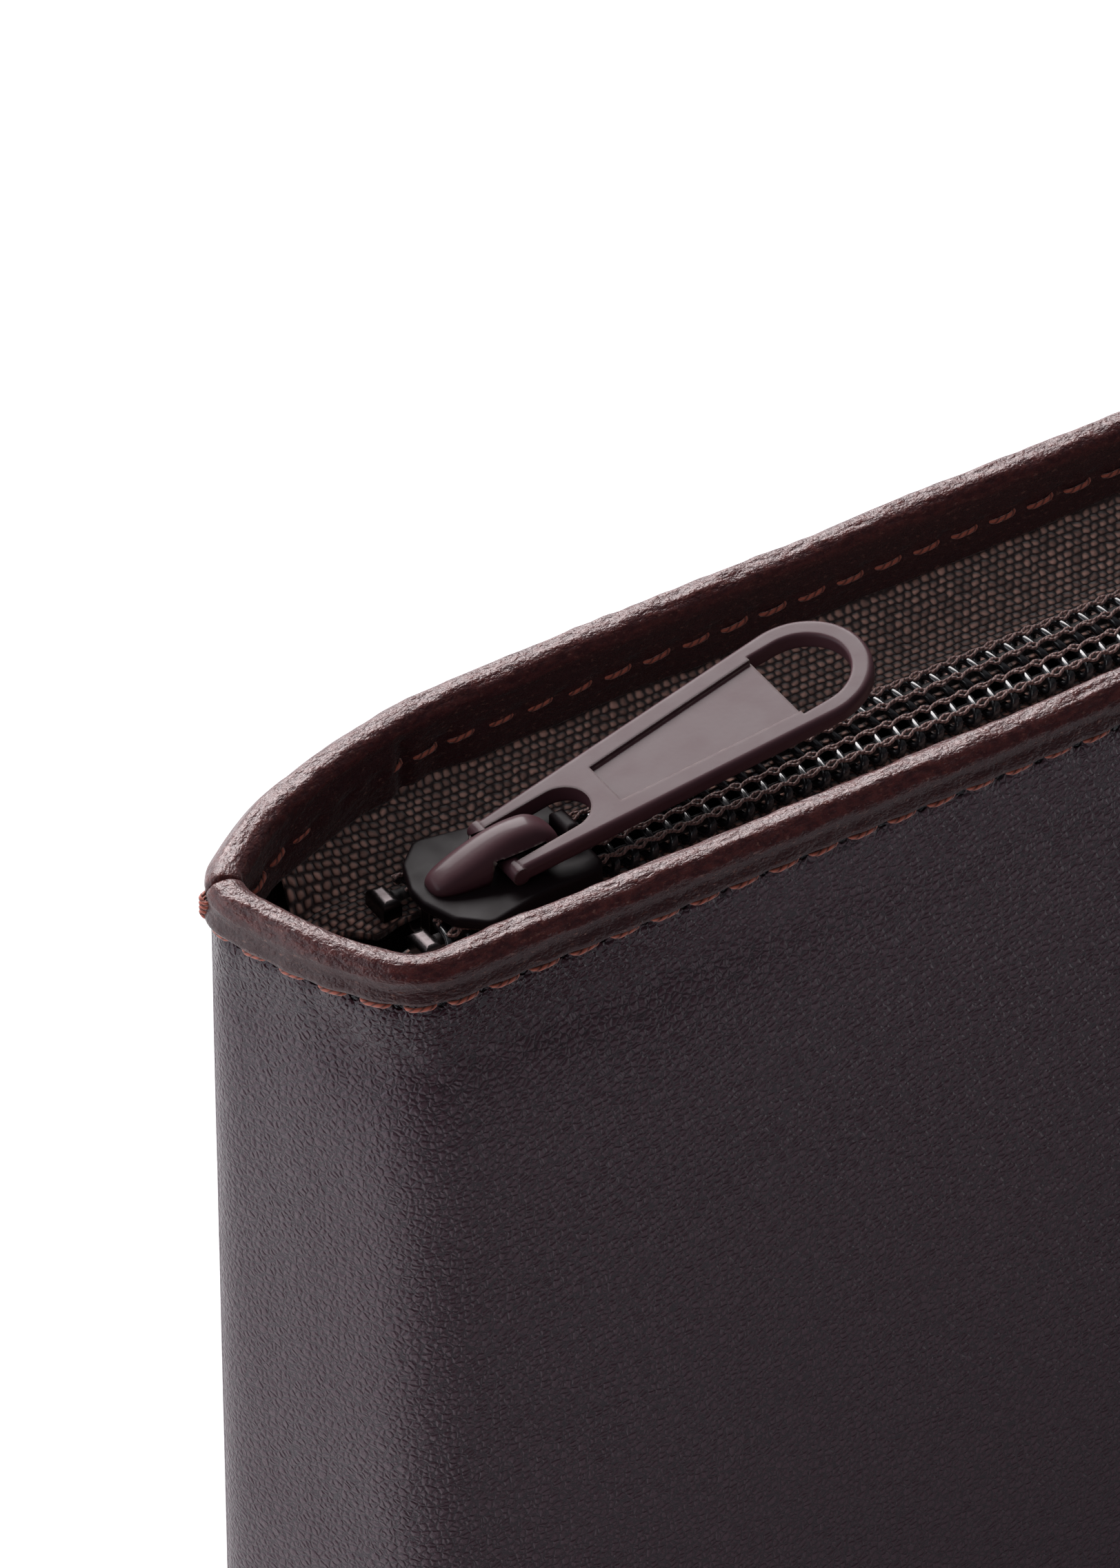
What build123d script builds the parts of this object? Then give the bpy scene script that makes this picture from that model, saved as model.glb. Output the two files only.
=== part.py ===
"""A standing leather pouch with a recessed coil zipper, modelled piece by piece.

Millimetres, +Z up. The origin is on the floor under the middle of the pouch. The
length runs along X, the front wall faces -Y, and the zipper closes towards -X.
"""
import os
from math import cos, radians, sin

from build123d import *

os.makedirs("parts", exist_ok=True)

# ---- driving dimensions -------------------------------------------------------------
# the pouch
pouch_length = 198.6        # over the leather walls, from tip to tip
pouch_depth = 24.6          # over the front and back leather walls
pouch_height = 110.0        # from the floor to the crown of the mouth binding

# sheet goods
leather = 1.0               # wall and base leather
interlining = 0.8           # stiff sheet bonded behind the wall leather
lining = 0.35               # woven lining
base_board_height = 1.5     # greyboard that keeps the base flat
binding = 0.7               # skived leather strip folded over the mouth
tape = 0.5                  # woven zipper tape
thread = 0.45               # sewing thread at the mouth and the base
allowance_width = 2.0       # turned seam allowance beside each side seam

# plan of an end, measured from the tip along X and from the walls along Y
tip_offset = 3.0            # the side seams lie this far behind the middle
tip_radius = 4.0
tip_cut = 0.65              # corner that the tip's arc rounds off
front_cheek = (2.8, 5.9)    # from the tip, from the front wall
front_cheek_radius = 22.0
front_corner = 6.8          # from the tip to the corner of the front wall
front_corner_radius = 5.5
back_cheek = (6.4, 4.0)     # from the tip, from the back wall
back_cheek_radius = 14.0
back_shoulder = 17.7        # from the tip to where the back wall runs straight
back_shoulder_radius = 38.0

# mouth binding
outer_leg = 2.9             # from the crown down to the outer edge
inner_leg = 5.8             # from the crown down to the inner edge
lining_drop = 0.5           # from the zipper tape down to the edge of the lining
crown_radius = 1.35
base_edge_radius = 0.8      # turned bottom edge of the wall leather

# zipper
coil_drop = 6.4             # from the crown of the binding down to the top of the coil
coil_width = 3.05           # one side of the chain
coil_height = 1.8           # above the tape, sewing thread included
coil_seam_height = 0.2      # the part of that height that is sewing thread
coil_seam_width = 0.4
coil_seam_spacing = 1.5     # between the two rows of stitches on one coil
coil_corner_radius = 0.6
coil_bend_radius = 6.1      # where the coils part at the slider
cord_bore = 0.95            # tunnel through the coil turns
cord_diameter = 0.85        # filler cord in that tunnel
chain_gap = 0.15            # between the two coils where they are closed
tape_gap = 2.4              # between the two tape edges, under the coils
tape_end = 8.0              # from each tip to the end of a tape at the wall
tape_end_cut = (4.0, 5.0)   # the end of the tape is cut back to a slant

# slider
slider_place = 20.4         # from the left tip to the middle of the closed slider
slider_length = 12.2
shoulder_width = 9.9        # across the nose
tail_width = 8.3
top_plate = 0.75
bottom_plate = 0.8
shoulder_place = 3.35       # from the slider's middle towards the nose
nose_place = 5.2            # where the nose starts to round off
nose_width = 6.6            # across the plates there
plate_corner_radius = 1.1
plate_edge_radius = 0.25
coil_clearance = 0.12       # between the coil and the top plate
flange_clearance = 0.2      # between the plates' edges and the tape
wedge_width = 1.6           # the wedge that parts the two coils at the nose
wedge_tip_width = 1.05
wedge_start = 0.6           # from the nose
wedge_length = 3.6
spread = 1.0                # how far each coil is pushed out beside the wedge
spread_start = 0.8          # from the slider's middle towards the tail
spread_end = 3.6            # from the slider's middle towards the nose

# slider cap, lock spring and pull tab
cap_nose = 5.2              # from the slider's middle towards the nose
cap_tail = 4.5              # from the slider's middle towards the tail
cap_width = 3.4
cap_height = 2.55
cap_nose_height = 1.15
cap_front_height = 0.6
cap_tail_height = 1.65
cap_crest = (0.5, 3.1)      # the highest stretch, from the slider's middle
cap_wall = 0.5
cap_corner_radius = 0.8
cap_back_radius = 3.0       # where the cap's slope meets its crest
cap_nose_wall = 1.05
cap_edge_radius = 0.75
post_height = 0.3           # front post, under the spring's fixed end
window_nose = 1.3           # the window that the cross bar passes through
window_tail = 3.2
spring_thickness = 0.2
spring_width = 1.2
spring_play = 0.08          # between the spring and what it passes
claw_place = 2.5
claw_clearance = 0.2
rear_post = (4.75, 1.1, 2.2, 1.5)   # start, length, width and height
rear_post_radius = 0.4
front_post = (2.9, 1.1, 2.0)        # start towards the nose, length and width
tab_length = 28.8           # from the cross bar to the end of the ring
tab_thickness = 1.3
tab_neck_width = 5.8
tab_ring_width = 9.6
tab_neck_length = 5.5
tab_hinge_clearance = 0.15  # between the cross bar and the plate
tab_cap_clearance = 0.3     # between the loop's arms and the cap
tab_loop_length = 7.0
tab_lift = 10.6             # degrees that the tab stands up from the plate at rest
tab_edge_radius = 0.4
hole_edge_radius = 0.25
ring_bar = 1.5
ring_hole_straight = 6.85   # from the end of the ring back to the hole's flat side
panel_start = 8.5           # sunken panel between the ribs
panel_widths = (3.9, 6.2)
panel_depth = 0.3
pivot_place = 0.2           # from the slider's middle towards the tail

# stops
stop_length = 1.4
stop_gap = 0.25             # between a stop and the slider
bottom_stop_place = 27.5    # from the right tip to the near side of the stop
bottom_stop_length = 2.4
stop_edge_radius = 0.5
stop_size = (2.3, 1.35)      # width and height of the clamped stops

# ---- sizes that follow ---------------------------------------------------------------
half_length = pouch_length / 2
half_depth = pouch_depth / 2
wall = leather + interlining
mouth_stack = leather + tape
crown_inset = mouth_stack + binding

coil_top = pouch_height - coil_drop
tape_top = coil_top - coil_height
tape_bottom = tape_top - tape
coil_center = (chain_gap + coil_width) / 2

slider_x = -half_length + slider_place
plate_bottom = coil_top + coil_clearance
plate_top = plate_bottom + top_plate
base_plate_top = tape_bottom - flange_clearance
base_plate_bottom = base_plate_top - bottom_plate
pivot_x = slider_x + pivot_place
pivot_z = plate_top + tab_thickness / 2 + tab_hinge_clearance

seam_plane = Plane.XZ.offset(-tip_offset)


def mirrored(left_end):
    """Plan corners of both ends from those of the left one, in order round the pouch."""
    right_end = [(-x, y) for x, y in reversed(left_end)]
    return left_end + right_end


plan_corners = mirrored(
    [
        (-half_length + back_shoulder, half_depth),
        (-half_length + back_cheek[0], half_depth - back_cheek[1]),
        (-half_length - tip_cut, tip_offset),
        (-half_length + front_cheek[0], -half_depth + front_cheek[1]),
        (-half_length + front_corner, -half_depth),
    ]
)
end_radii = [
    back_shoulder_radius,
    back_cheek_radius,
    tip_radius,
    front_cheek_radius,
    front_corner_radius,
]
plan_radii = end_radii + end_radii[::-1]


def plan(inset):
    """Plan of the pouch, inset from the outside of the wall leather."""
    with BuildSketch() as outline:
        with BuildLine():
            FilletPolyline(*plan_corners, radius=plan_radii, close=True)
        make_face()
        if inset:
            offset(amount=-inset)
    return outline.sketch


def band(outer_inset, inner_inset):
    """Plan of a strip that follows the wall, between two insets."""
    with BuildSketch() as strip:
        add(plan(outer_inset))
        add(plan(inner_inset), mode=Mode.SUBTRACT)
    return strip.sketch


def save(piece, name):
    """Label one finished piece and write it."""
    piece.label = name
    export_step(piece, f"parts/{name}.step")


# ---- base: leather, stiff board and the thread of the turned seam ---------------------
with BuildPart() as base_panel:
    add(plan(leather))
    extrude(amount=leather)
save(base_panel.part, "base_panel")

with BuildPart() as base_board:
    with BuildSketch(Plane.XY.offset(leather)):
        add(plan(wall))
    extrude(amount=base_board_height)
save(base_board.part, "base_board")

board_top = leather + base_board_height
with BuildPart() as base_lining:
    with BuildSketch(Plane.XY.offset(board_top)):
        add(plan(wall))
    extrude(amount=lining)
save(base_lining.part, "base_lining")

with BuildPart() as base_seam_stitching:
    with BuildSketch(Plane.XY.offset(leather)):
        add(band(leather, leather + thread))
    extrude(amount=thread)
save(base_seam_stitching.part, "base_seam_stitching")

# ---- walls, binding and mouth seam: one of each for the front and for the back --------
wall_top = pouch_height - binding
lining_bottom = board_top + lining
lining_top = tape_bottom - lining_drop
sides = {"front": Keep.TOP, "back": Keep.BOTTOM}

for side, kept_half in sides.items():
    # wall leather, turned under at the floor, with its allowance beside the side seams
    with BuildPart() as panel:
        with BuildSketch():
            add(band(0, leather))
        extrude(amount=wall_top)
        fillet(panel.faces().sort_by(Axis.Z)[0].outer_wire().edges(), base_edge_radius)
        with BuildSketch(Plane.XY.offset(leather + thread)):
            add(band(leather, wall))
            with Locations((0, tip_offset)):
                Rectangle(pouch_length, 2 * allowance_width, mode=Mode.INTERSECT)
                Rectangle(pouch_length, thread, mode=Mode.SUBTRACT)
        extrude(amount=lining_top - leather - thread)
        split(bisect_by=seam_plane, keep=kept_half)
    save(panel.part, f"{side}_panel")

    # stiff interlining, cut back beside the side seams
    with BuildPart() as stiffener:
        with BuildSketch(Plane.XY.offset(leather + thread)):
            add(band(leather, wall))
            with Locations((0, tip_offset)):
                Rectangle(pouch_length, 2 * allowance_width, mode=Mode.SUBTRACT)
        extrude(amount=lining_top - leather - thread)
        split(bisect_by=seam_plane, keep=kept_half)
    save(stiffener.part, f"{side}_interlining")

    with BuildPart() as wall_lining:
        with BuildSketch(Plane.XY.offset(lining_bottom)):
            add(band(wall, wall + lining))
        extrude(amount=lining_top - lining_bottom)
        split(bisect_by=seam_plane, keep=kept_half)
    save(wall_lining.part, f"{side}_lining")

    # binding folded over the wall leather and the tape, with a rounded crown
    with BuildPart() as strip:
        with BuildSketch(Plane.XY.offset(pouch_height - inner_leg)):
            add(band(-binding, crown_inset))
        extrude(amount=inner_leg)
        fillet(strip.edges().group_by(Axis.Z)[-1], crown_radius)
        with BuildSketch(Plane.XY.offset(pouch_height - inner_leg)):
            add(band(0, mouth_stack))
        extrude(amount=inner_leg - binding, mode=Mode.SUBTRACT)
        with BuildSketch(Plane.XY.offset(pouch_height - inner_leg)):
            add(band(-2 * binding, 0))
        extrude(amount=inner_leg - outer_leg, mode=Mode.SUBTRACT)
        split(bisect_by=seam_plane, keep=kept_half)
    save(strip.part, f"{side}_binding")

    # the mouth seam shows as one line of thread outside and one inside
    with BuildPart() as mouth_seam:
        with BuildSketch(Plane.XY.offset(pouch_height - outer_leg - thread)):
            add(band(-thread, 0))
            add(band(crown_inset, crown_inset + thread))
        extrude(amount=thread)
        split(bisect_by=seam_plane, keep=kept_half)
    save(mouth_seam.part, f"{side}_mouth_stitching")

# thread of the two side seams, between the turned allowances
with BuildPart() as side_seams:
    with BuildSketch(Plane.XY.offset(leather + thread)):
        add(band(leather, wall))
        with Locations((0, tip_offset)):
            Rectangle(pouch_length, thread, mode=Mode.INTERSECT)
    extrude(amount=lining_top - leather - thread)
save(side_seams.part, "side_seam_stitching")

# a short bar of thread over the joint of the two bindings at each tip
tack_reach = binding + thread
with BuildPart() as end_tacks:
    with BuildSketch(Plane.XY.offset(pouch_height - outer_leg)):
        add(band(-tack_reach, -binding))
        with Locations((0, tip_offset)):
            Rectangle(pouch_length + 2 * tack_reach, 2 * thread, mode=Mode.INTERSECT)
    extrude(amount=outer_leg - crown_radius)
save(end_tacks.part, "end_tacks")

# ---- zipper tapes, coils, filler cords and their sewing -------------------------------
tape_tip_x = half_length - tape_end
tape_corner_x = tape_tip_x - tape_end_cut[0]
chain_end_x = half_length - bottom_stop_place
stop_x = slider_x - slider_length / 2 - stop_gap
spread_nose_x = slider_x - spread_end
spread_tail_x = slider_x + spread_start
coil_mid_z = tape_top + (coil_height - coil_seam_height) / 2
coil_seam_z = coil_top - coil_seam_height / 2


def chain_run(hand, height):
    """Corners of one coil's path: closed behind the slider and parted at its nose."""
    closed_y = hand * coil_center
    spread_y = hand * (coil_center + spread)
    return [
        (chain_end_x, closed_y, height),
        (spread_tail_x, closed_y, height),
        (spread_nose_x, spread_y, height),
        (stop_x, spread_y, height),
    ]


for side, hand in {"front": -1, "back": 1}.items():
    near = hand * tape_gap / 2
    far = hand * half_depth
    slant = hand * (tape_gap / 2 + tape_end_cut[1])
    tape_zone = [
        (-tape_corner_x, near),
        (-tape_tip_x, slant),
        (-tape_tip_x, far),
        (tape_tip_x, far),
        (tape_tip_x, slant),
        (tape_corner_x, near),
    ]

    # the tape lies level under the coil and turns up into the mouth seam
    with BuildPart() as zipper_tape:
        with BuildSketch(Plane.XY.offset(tape_bottom)):
            add(plan(leather))
            with BuildLine():
                Polyline(*tape_zone, close=True)
            make_face(mode=Mode.INTERSECT)
        extrude(amount=tape)
        with BuildSketch(Plane.XY.offset(tape_bottom)):
            add(band(leather, mouth_stack))
            with BuildLine():
                Polyline(*tape_zone, close=True)
            make_face(mode=Mode.INTERSECT)
        extrude(amount=wall_top - tape_bottom)
    save(zipper_tape.part, f"{side}_tape")

    coil_run = chain_run(hand, coil_mid_z)
    coil_section = Plane(origin=coil_run[0], x_dir=(0, 1, 0), z_dir=(-1, 0, 0))
    seam_run = chain_run(hand, coil_seam_z)
    seam_section = Plane(origin=seam_run[0], x_dir=(0, 1, 0), z_dir=(-1, 0, 0))

    # outer shape of the coil turns, hollow where the filler cord runs
    with BuildPart() as coil:
        with BuildLine() as coil_path:
            FilletPolyline(*coil_run, radius=coil_bend_radius)
        with BuildSketch(coil_section):
            RectangleRounded(coil_width, coil_height - coil_seam_height, coil_corner_radius)
            Circle(cord_bore / 2, mode=Mode.SUBTRACT)
        sweep(path=coil_path.line)
    save(coil.part, f"{side}_coil")

    with BuildPart() as filler_cord:
        with BuildLine() as cord_path:
            FilletPolyline(*coil_run, radius=coil_bend_radius)
        with BuildSketch(coil_section):
            Circle(cord_diameter / 2)
        sweep(path=cord_path.line)
    save(filler_cord.part, f"{side}_coil_cord")

    # two rows of chain stitch that hold the coil on the tape
    with BuildPart() as coil_seams:
        with BuildLine() as seam_path:
            FilletPolyline(*seam_run, radius=coil_bend_radius)
        with BuildSketch(seam_section):
            with GridLocations(coil_seam_spacing, 0, 2, 1):
                Rectangle(coil_seam_width, coil_seam_height)
        sweep(path=seam_path.line)
    save(coil_seams.part, f"{side}_coil_stitching")

# a stop clamped on each coil ahead of the slider's nose
with BuildPart() as top_stops:
    with BuildSketch(Plane.XY.offset(tape_top)):
        with Locations((stop_x - stop_length / 2, 0)):
            with GridLocations(0, 2 * (coil_center + spread), 1, 2):
                Rectangle(stop_length, stop_size[0])
    extrude(amount=stop_size[1])
    fillet(top_stops.edges().group_by(Axis.Z)[-1], stop_edge_radius)
save(top_stops.part, "top_stops")

# one stop across both coils at the other end
with BuildPart() as bottom_stop:
    with BuildSketch(Plane.XY.offset(tape_top)):
        with Locations((chain_end_x + bottom_stop_length / 2, 0)):
            Rectangle(bottom_stop_length, 2 * coil_width + chain_gap)
    extrude(amount=coil_height)
    fillet(bottom_stop.edges().group_by(Axis.Z)[-1], coil_corner_radius)
save(bottom_stop.part, "bottom_stop")

# ---- slider body: two plates, a wedge between them and two posts ----------------------
half_slider = slider_length / 2
shoulder_x = slider_x - shoulder_place
waist_x = slider_x + spread_start
flange_x = slider_x - half_slider - coil_clearance
channel_tail = coil_center + coil_width / 2 + flange_clearance
channel_nose = channel_tail + spread
rear_post_x = slider_x + rear_post[0] + rear_post[1] / 2
front_post_x = slider_x - front_post[0] - front_post[1] / 2
claw_x = slider_x + claw_place
plate_half = [
    (slider_x + half_slider, tail_width / 2),
    (waist_x, tail_width / 2),
    (shoulder_x, shoulder_width / 2),
    (slider_x - nose_place, nose_width / 2),
    (slider_x - half_slider, wedge_width / 2),
]
plate_outline = plate_half + [(x, -y) for x, y in reversed(plate_half)]
channel_half = [
    (slider_x + half_slider, channel_tail),
    (waist_x, channel_tail),
    (spread_nose_x, channel_nose),
    (flange_x, channel_nose),
]
channel_outline = channel_half + [(x, -y) for x, y in reversed(channel_half)]

with BuildPart() as slider_body:
    with BuildSketch(Plane.XY.offset(base_plate_bottom)):
        with BuildLine():
            Polyline(*plate_outline, close=True)
        make_face()
    extrude(amount=plate_top - base_plate_bottom)
    fillet(slider_body.edges().filter_by(Axis.Z), plate_corner_radius)
    fillet(slider_body.edges().group_by(Axis.Z)[0], plate_edge_radius)
    fillet(slider_body.edges().group_by(Axis.Z)[-1], plate_edge_radius)
    # channel for the coils, and the slit on each side for the tapes
    with BuildSketch(Plane.XY.offset(base_plate_top)):
        with BuildLine():
            Polyline(*channel_outline, close=True)
        make_face()
    extrude(amount=plate_bottom - base_plate_top, mode=Mode.SUBTRACT)
    with BuildSketch(Plane.XY.offset(base_plate_top)):
        with Locations((slider_x, 0)):
            Rectangle(2 * slider_length, 2 * shoulder_width)
    extrude(amount=tape + 2 * flange_clearance, mode=Mode.SUBTRACT)
    # wedge between the plates at the nose
    with BuildSketch(Plane.XY.offset(base_plate_top)):
        with BuildLine():
            Polyline(
                (slider_x - half_slider + wedge_start, wedge_tip_width / 2),
                (slider_x - half_slider + wedge_start, -wedge_tip_width / 2),
                (spread_nose_x, -wedge_width / 2),
                (slider_x - half_slider + wedge_start + wedge_length, 0),
                (spread_nose_x, wedge_width / 2),
                close=True,
            )
        make_face()
    extrude(amount=plate_bottom - base_plate_top)
    # posts that hold the cap and guide the lock spring
    with BuildSketch(Plane.XY.offset(plate_top)):
        with Locations((rear_post_x, 0)):
            Rectangle(rear_post[1], rear_post[2])
    extrude(amount=rear_post[3])
    fillet(slider_body.edges().group_by(Axis.Z)[-1], rear_post_radius)
    with BuildSketch(Plane.XY.offset(plate_top)):
        with Locations((front_post_x, 0)):
            Rectangle(front_post[1], front_post[2])
    extrude(amount=post_height)
    # hole for the lock claw
    with BuildSketch(Plane.XY.offset(plate_bottom)):
        with Locations((claw_x, 0)):
            Rectangle(
                spring_thickness + 2 * claw_clearance,
                spring_width + 2 * claw_clearance,
            )
    extrude(amount=top_plate, mode=Mode.SUBTRACT)
save(slider_body.part, "slider_body")

# ---- slider cap: a bridge over the cross bar, open underneath --------------------------
spring_level = tab_thickness + tab_hinge_clearance + spring_play + spring_thickness / 2
cavity_level = spring_level + spring_thickness / 2 + spring_play
cavity_nose = post_height + spring_thickness + spring_play
window_height = tab_thickness + 2 * tab_hinge_clearance
cap_plane = Plane(origin=(slider_x, 0, plate_top), x_dir=(1, 0, 0), z_dir=(0, -1, 0))

with BuildPart() as slider_cap:
    with BuildSketch(cap_plane):
        with BuildLine():
            Polyline(
                (-cap_nose, 0),
                (-cap_nose, cap_front_height),
                (-cap_nose + 2 * cap_corner_radius, cap_nose_height),
                (cap_crest[0], cap_height),
                (cap_crest[1], cap_height),
                (cap_tail, cap_tail_height),
                (cap_tail, 0),
                close=True,
            )
        make_face()
        crest = vertices().group_by(Axis.Y)[-1].sort_by(Axis.X)[0]
        raised = [v for v in vertices() if v.Y > cap_front_height]
        fillet([v for v in raised if v != crest], cap_corner_radius)
        fillet(vertices().group_by(Axis.Y)[-1].sort_by(Axis.X)[0], cap_back_radius)
    extrude(amount=cap_width / 2, both=True)
    cheek_edges = slider_cap.faces().filter_by(Axis.Y).edges()
    fillet(cheek_edges - cheek_edges.group_by(Axis.Z)[0], cap_edge_radius)
    # cavity for the spring
    with BuildSketch(cap_plane):
        with BuildLine():
            Polyline(
                (-cap_nose + cap_nose_wall, 0),
                (-cap_nose + cap_nose_wall, cavity_nose),
                (-front_post[0], cavity_nose + spring_play),
                (-window_nose / 2, cavity_level),
                (cap_crest[1], cavity_level),
                (cap_tail - cap_wall, cap_tail_height - cap_wall),
                (cap_tail - cap_wall, 0),
                close=True,
            )
        make_face()
    extrude(amount=cap_width / 2 - cap_wall, both=True, mode=Mode.SUBTRACT)
    # window for the cross bar
    with BuildSketch(cap_plane):
        with Locations(((window_tail - window_nose) / 2, window_height / 2)):
            Rectangle(window_tail + window_nose, window_height)
    extrude(amount=cap_width, both=True, mode=Mode.SUBTRACT)
save(slider_cap.part, "slider_cap")

# ---- lock spring: a leaf from the front post over the cross bar to the lock hole -------
spring_nose = post_height + spring_thickness / 2
with BuildPart() as lock_spring:
    with BuildSketch(cap_plane):
        with BuildLine():
            Polyline(
                (-front_post[0] - front_post[1], spring_nose),
                (-front_post[0], spring_nose),
                (-spring_thickness, spring_level),
                (claw_place, spring_level),
                (claw_place, -top_plate),
            )
        trace(line_width=spring_thickness)
    extrude(amount=spring_width / 2, both=True)
save(lock_spring.part, "lock_spring")

# ---- pull tab: a loop round the cap, two ribs, a sunken panel and a ring ---------------
lift = radians(tab_lift)
tab_plane = Plane(
    origin=(pivot_x, 0, pivot_z),
    x_dir=(cos(lift), 0, sin(lift)),
    z_dir=(-sin(lift), 0, cos(lift)),
)
tab_normal = Axis(tab_plane.origin, tab_plane.z_dir)
ring_x = tab_length - tab_ring_width / 2
ring_hole_radius = tab_ring_width / 2 - ring_bar
hole_start = tab_length - ring_hole_straight
bar_radius = tab_thickness / 2
loop_radius = cap_width / 2 + tab_cap_clearance
loop_end = tab_loop_length - loop_radius
panel_points = [
    (panel_start, panel_widths[0] / 2),
    (panel_start, -panel_widths[0] / 2),
    (hole_start, -panel_widths[1] / 2),
    (ring_x, -panel_widths[1] / 2),
    (ring_x, panel_widths[1] / 2),
    (hole_start, panel_widths[1] / 2),
]

with BuildPart() as pull_tab:
    with BuildSketch(tab_plane.offset(-bar_radius)):
        with Locations((tab_neck_length / 2, 0)):
            Rectangle(tab_neck_length, tab_neck_width)
        with Locations((ring_x, 0)):
            Circle(tab_ring_width / 2)
        make_hull()
    extrude(amount=tab_thickness)
    flat_faces = pull_tab.faces().sort_by(tab_normal)
    fillet(flat_faces[-1].edges() + flat_faces[0].edges(), tab_edge_radius)
    # the loop's hole and the ring's hole, with softened edges
    with BuildSketch(tab_plane.offset(-bar_radius)):
        with Locations((loop_end / 2, 0)):
            Rectangle(loop_end, 2 * loop_radius)
        with Locations((loop_end, 0)):
            Circle(loop_radius)
        with Locations((ring_x, 0)):
            Circle(ring_hole_radius)
        with Locations(((hole_start + ring_x) / 2, 0)):
            Rectangle(ring_x - hole_start, 2 * ring_hole_radius)
        with Locations((hole_start - ring_hole_radius / 2, 0)):
            Rectangle(ring_hole_radius, 2 * ring_hole_radius, mode=Mode.SUBTRACT)
    extrude(amount=tab_thickness, mode=Mode.SUBTRACT)
    flat_faces = pull_tab.faces().sort_by(tab_normal)
    rims = flat_faces[-1].inner_wires() + flat_faces[0].inner_wires()
    fillet(rims.edges().filter_by(GeomType.CIRCLE), hole_edge_radius)
    # cross bar that turns under the cap
    with BuildSketch(Plane(origin=tab_plane.origin, z_dir=(0, -1, 0))):
        Circle(bar_radius)
    extrude(amount=tab_neck_width / 2, both=True)
    # sunken panel on both faces
    for face_height in (bar_radius - panel_depth, -bar_radius):
        with BuildSketch(tab_plane.offset(face_height)):
            with BuildLine():
                Polyline(*panel_points, close=True)
            make_face()
        extrude(amount=panel_depth, mode=Mode.SUBTRACT)
save(pull_tab.part, "pull_tab")
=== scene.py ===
"""A standing leather pouch with a bound mouth and a recessed coil zipper, finished piece by piece.

Metres, in the frame of the CAD model. The leather, cloth, sewing, coils and the slider's cap are surfaces worked
out here. The slider's plates, the pull, the stops and the stiffeners keep their CAD shape and get a finish here.
"""

import math

import bpy
import numpy as np
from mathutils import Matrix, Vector


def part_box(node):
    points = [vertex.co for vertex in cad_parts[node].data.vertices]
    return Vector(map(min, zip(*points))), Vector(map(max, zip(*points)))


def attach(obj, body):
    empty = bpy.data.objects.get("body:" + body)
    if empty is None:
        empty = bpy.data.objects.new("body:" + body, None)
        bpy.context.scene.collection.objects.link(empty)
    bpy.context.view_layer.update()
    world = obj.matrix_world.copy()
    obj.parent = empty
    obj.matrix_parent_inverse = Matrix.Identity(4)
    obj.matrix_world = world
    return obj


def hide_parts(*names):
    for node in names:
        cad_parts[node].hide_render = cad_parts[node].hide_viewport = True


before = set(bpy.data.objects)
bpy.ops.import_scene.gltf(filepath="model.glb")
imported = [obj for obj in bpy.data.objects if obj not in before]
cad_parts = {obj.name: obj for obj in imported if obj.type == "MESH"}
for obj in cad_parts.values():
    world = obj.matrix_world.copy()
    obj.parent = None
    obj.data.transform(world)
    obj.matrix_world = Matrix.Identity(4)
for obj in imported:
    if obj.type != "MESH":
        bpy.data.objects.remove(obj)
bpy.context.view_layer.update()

# ---- camera and studio ------------------------------------------------------------------
# A long lens looks down on the closed end of the mouth. A wide softbox hangs over and behind the pouch, the
# floor is a plain pale sweep, and the camera's side is kept dark, so the leather shows bands of gloss.
mm = 0.001
scene = bpy.context.scene
left_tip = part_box("front_panel")[0].x
crown_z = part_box("front_binding")[1].z

aim = Vector((left_tip + 24.55 * mm, -1.0 * mm, crown_z))
turn, rise, reach = math.radians(-32.4), math.radians(40), 0.762
away = Vector((math.sin(turn) * math.cos(rise), -math.cos(turn) * math.cos(rise), math.sin(rise)))
lens = bpy.data.cameras.new("long_lens")
lens.lens = 269
lens.sensor_width = 36
lens.clip_start = 0.01
camera = bpy.data.objects.new("camera", lens)
scene.collection.objects.link(camera)
camera.location = aim + reach * away
camera.rotation_euler = away.to_track_quat("Z", "Y").to_euler()
scene.camera = camera
scene.view_settings.view_transform = "Standard"


def softbox(name, place, target, size, strength, tint):
    """A rectangular lamp at one place, turned to face another; strength is in watts."""
    lamp = bpy.data.lights.new(name, "AREA")
    lamp.shape = "RECTANGLE"
    lamp.size, lamp.size_y = size
    lamp.energy = strength
    lamp.color = tint
    holder = bpy.data.objects.new(name, lamp)
    scene.collection.objects.link(holder)
    holder.location = place
    holder.rotation_euler = (Vector(place) - Vector(target)).to_track_quat("Z", "Y").to_euler()
    return holder


softbox("overhead_softbox", (0.2, 1.05, 0.85), (0.0, 0.0, 0.1), (1.1, 0.8), 34, (1.0, 0.97, 0.97))
softbox("left_softbox", (-1.0, 0.3, 0.3), (-0.05, 0.0, 0.08), (1.5, 1.1), 9, (0.92, 0.95, 1.0))

sky = bpy.data.worlds.new("studio_air")
scene.world = sky
sky.use_nodes = True
sky_nodes, sky_links = sky.node_tree.nodes, sky.node_tree.links
backdrop = sky_nodes["Background"]
backdrop.inputs["Color"].default_value = (0.93, 0.95, 1.0, 1.0)
ray_kind = sky_nodes.new("ShaderNodeLightPath")
dimmer = sky_nodes.new("ShaderNodeMapRange")
dimmer.inputs["To Min"].default_value = 0.28
dimmer.inputs["To Max"].default_value = 0.2
sky_links.new(ray_kind.outputs["Is Glossy Ray"], dimmer.inputs["Value"])
sky_links.new(dimmer.outputs["Result"], backdrop.inputs["Strength"])

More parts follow.
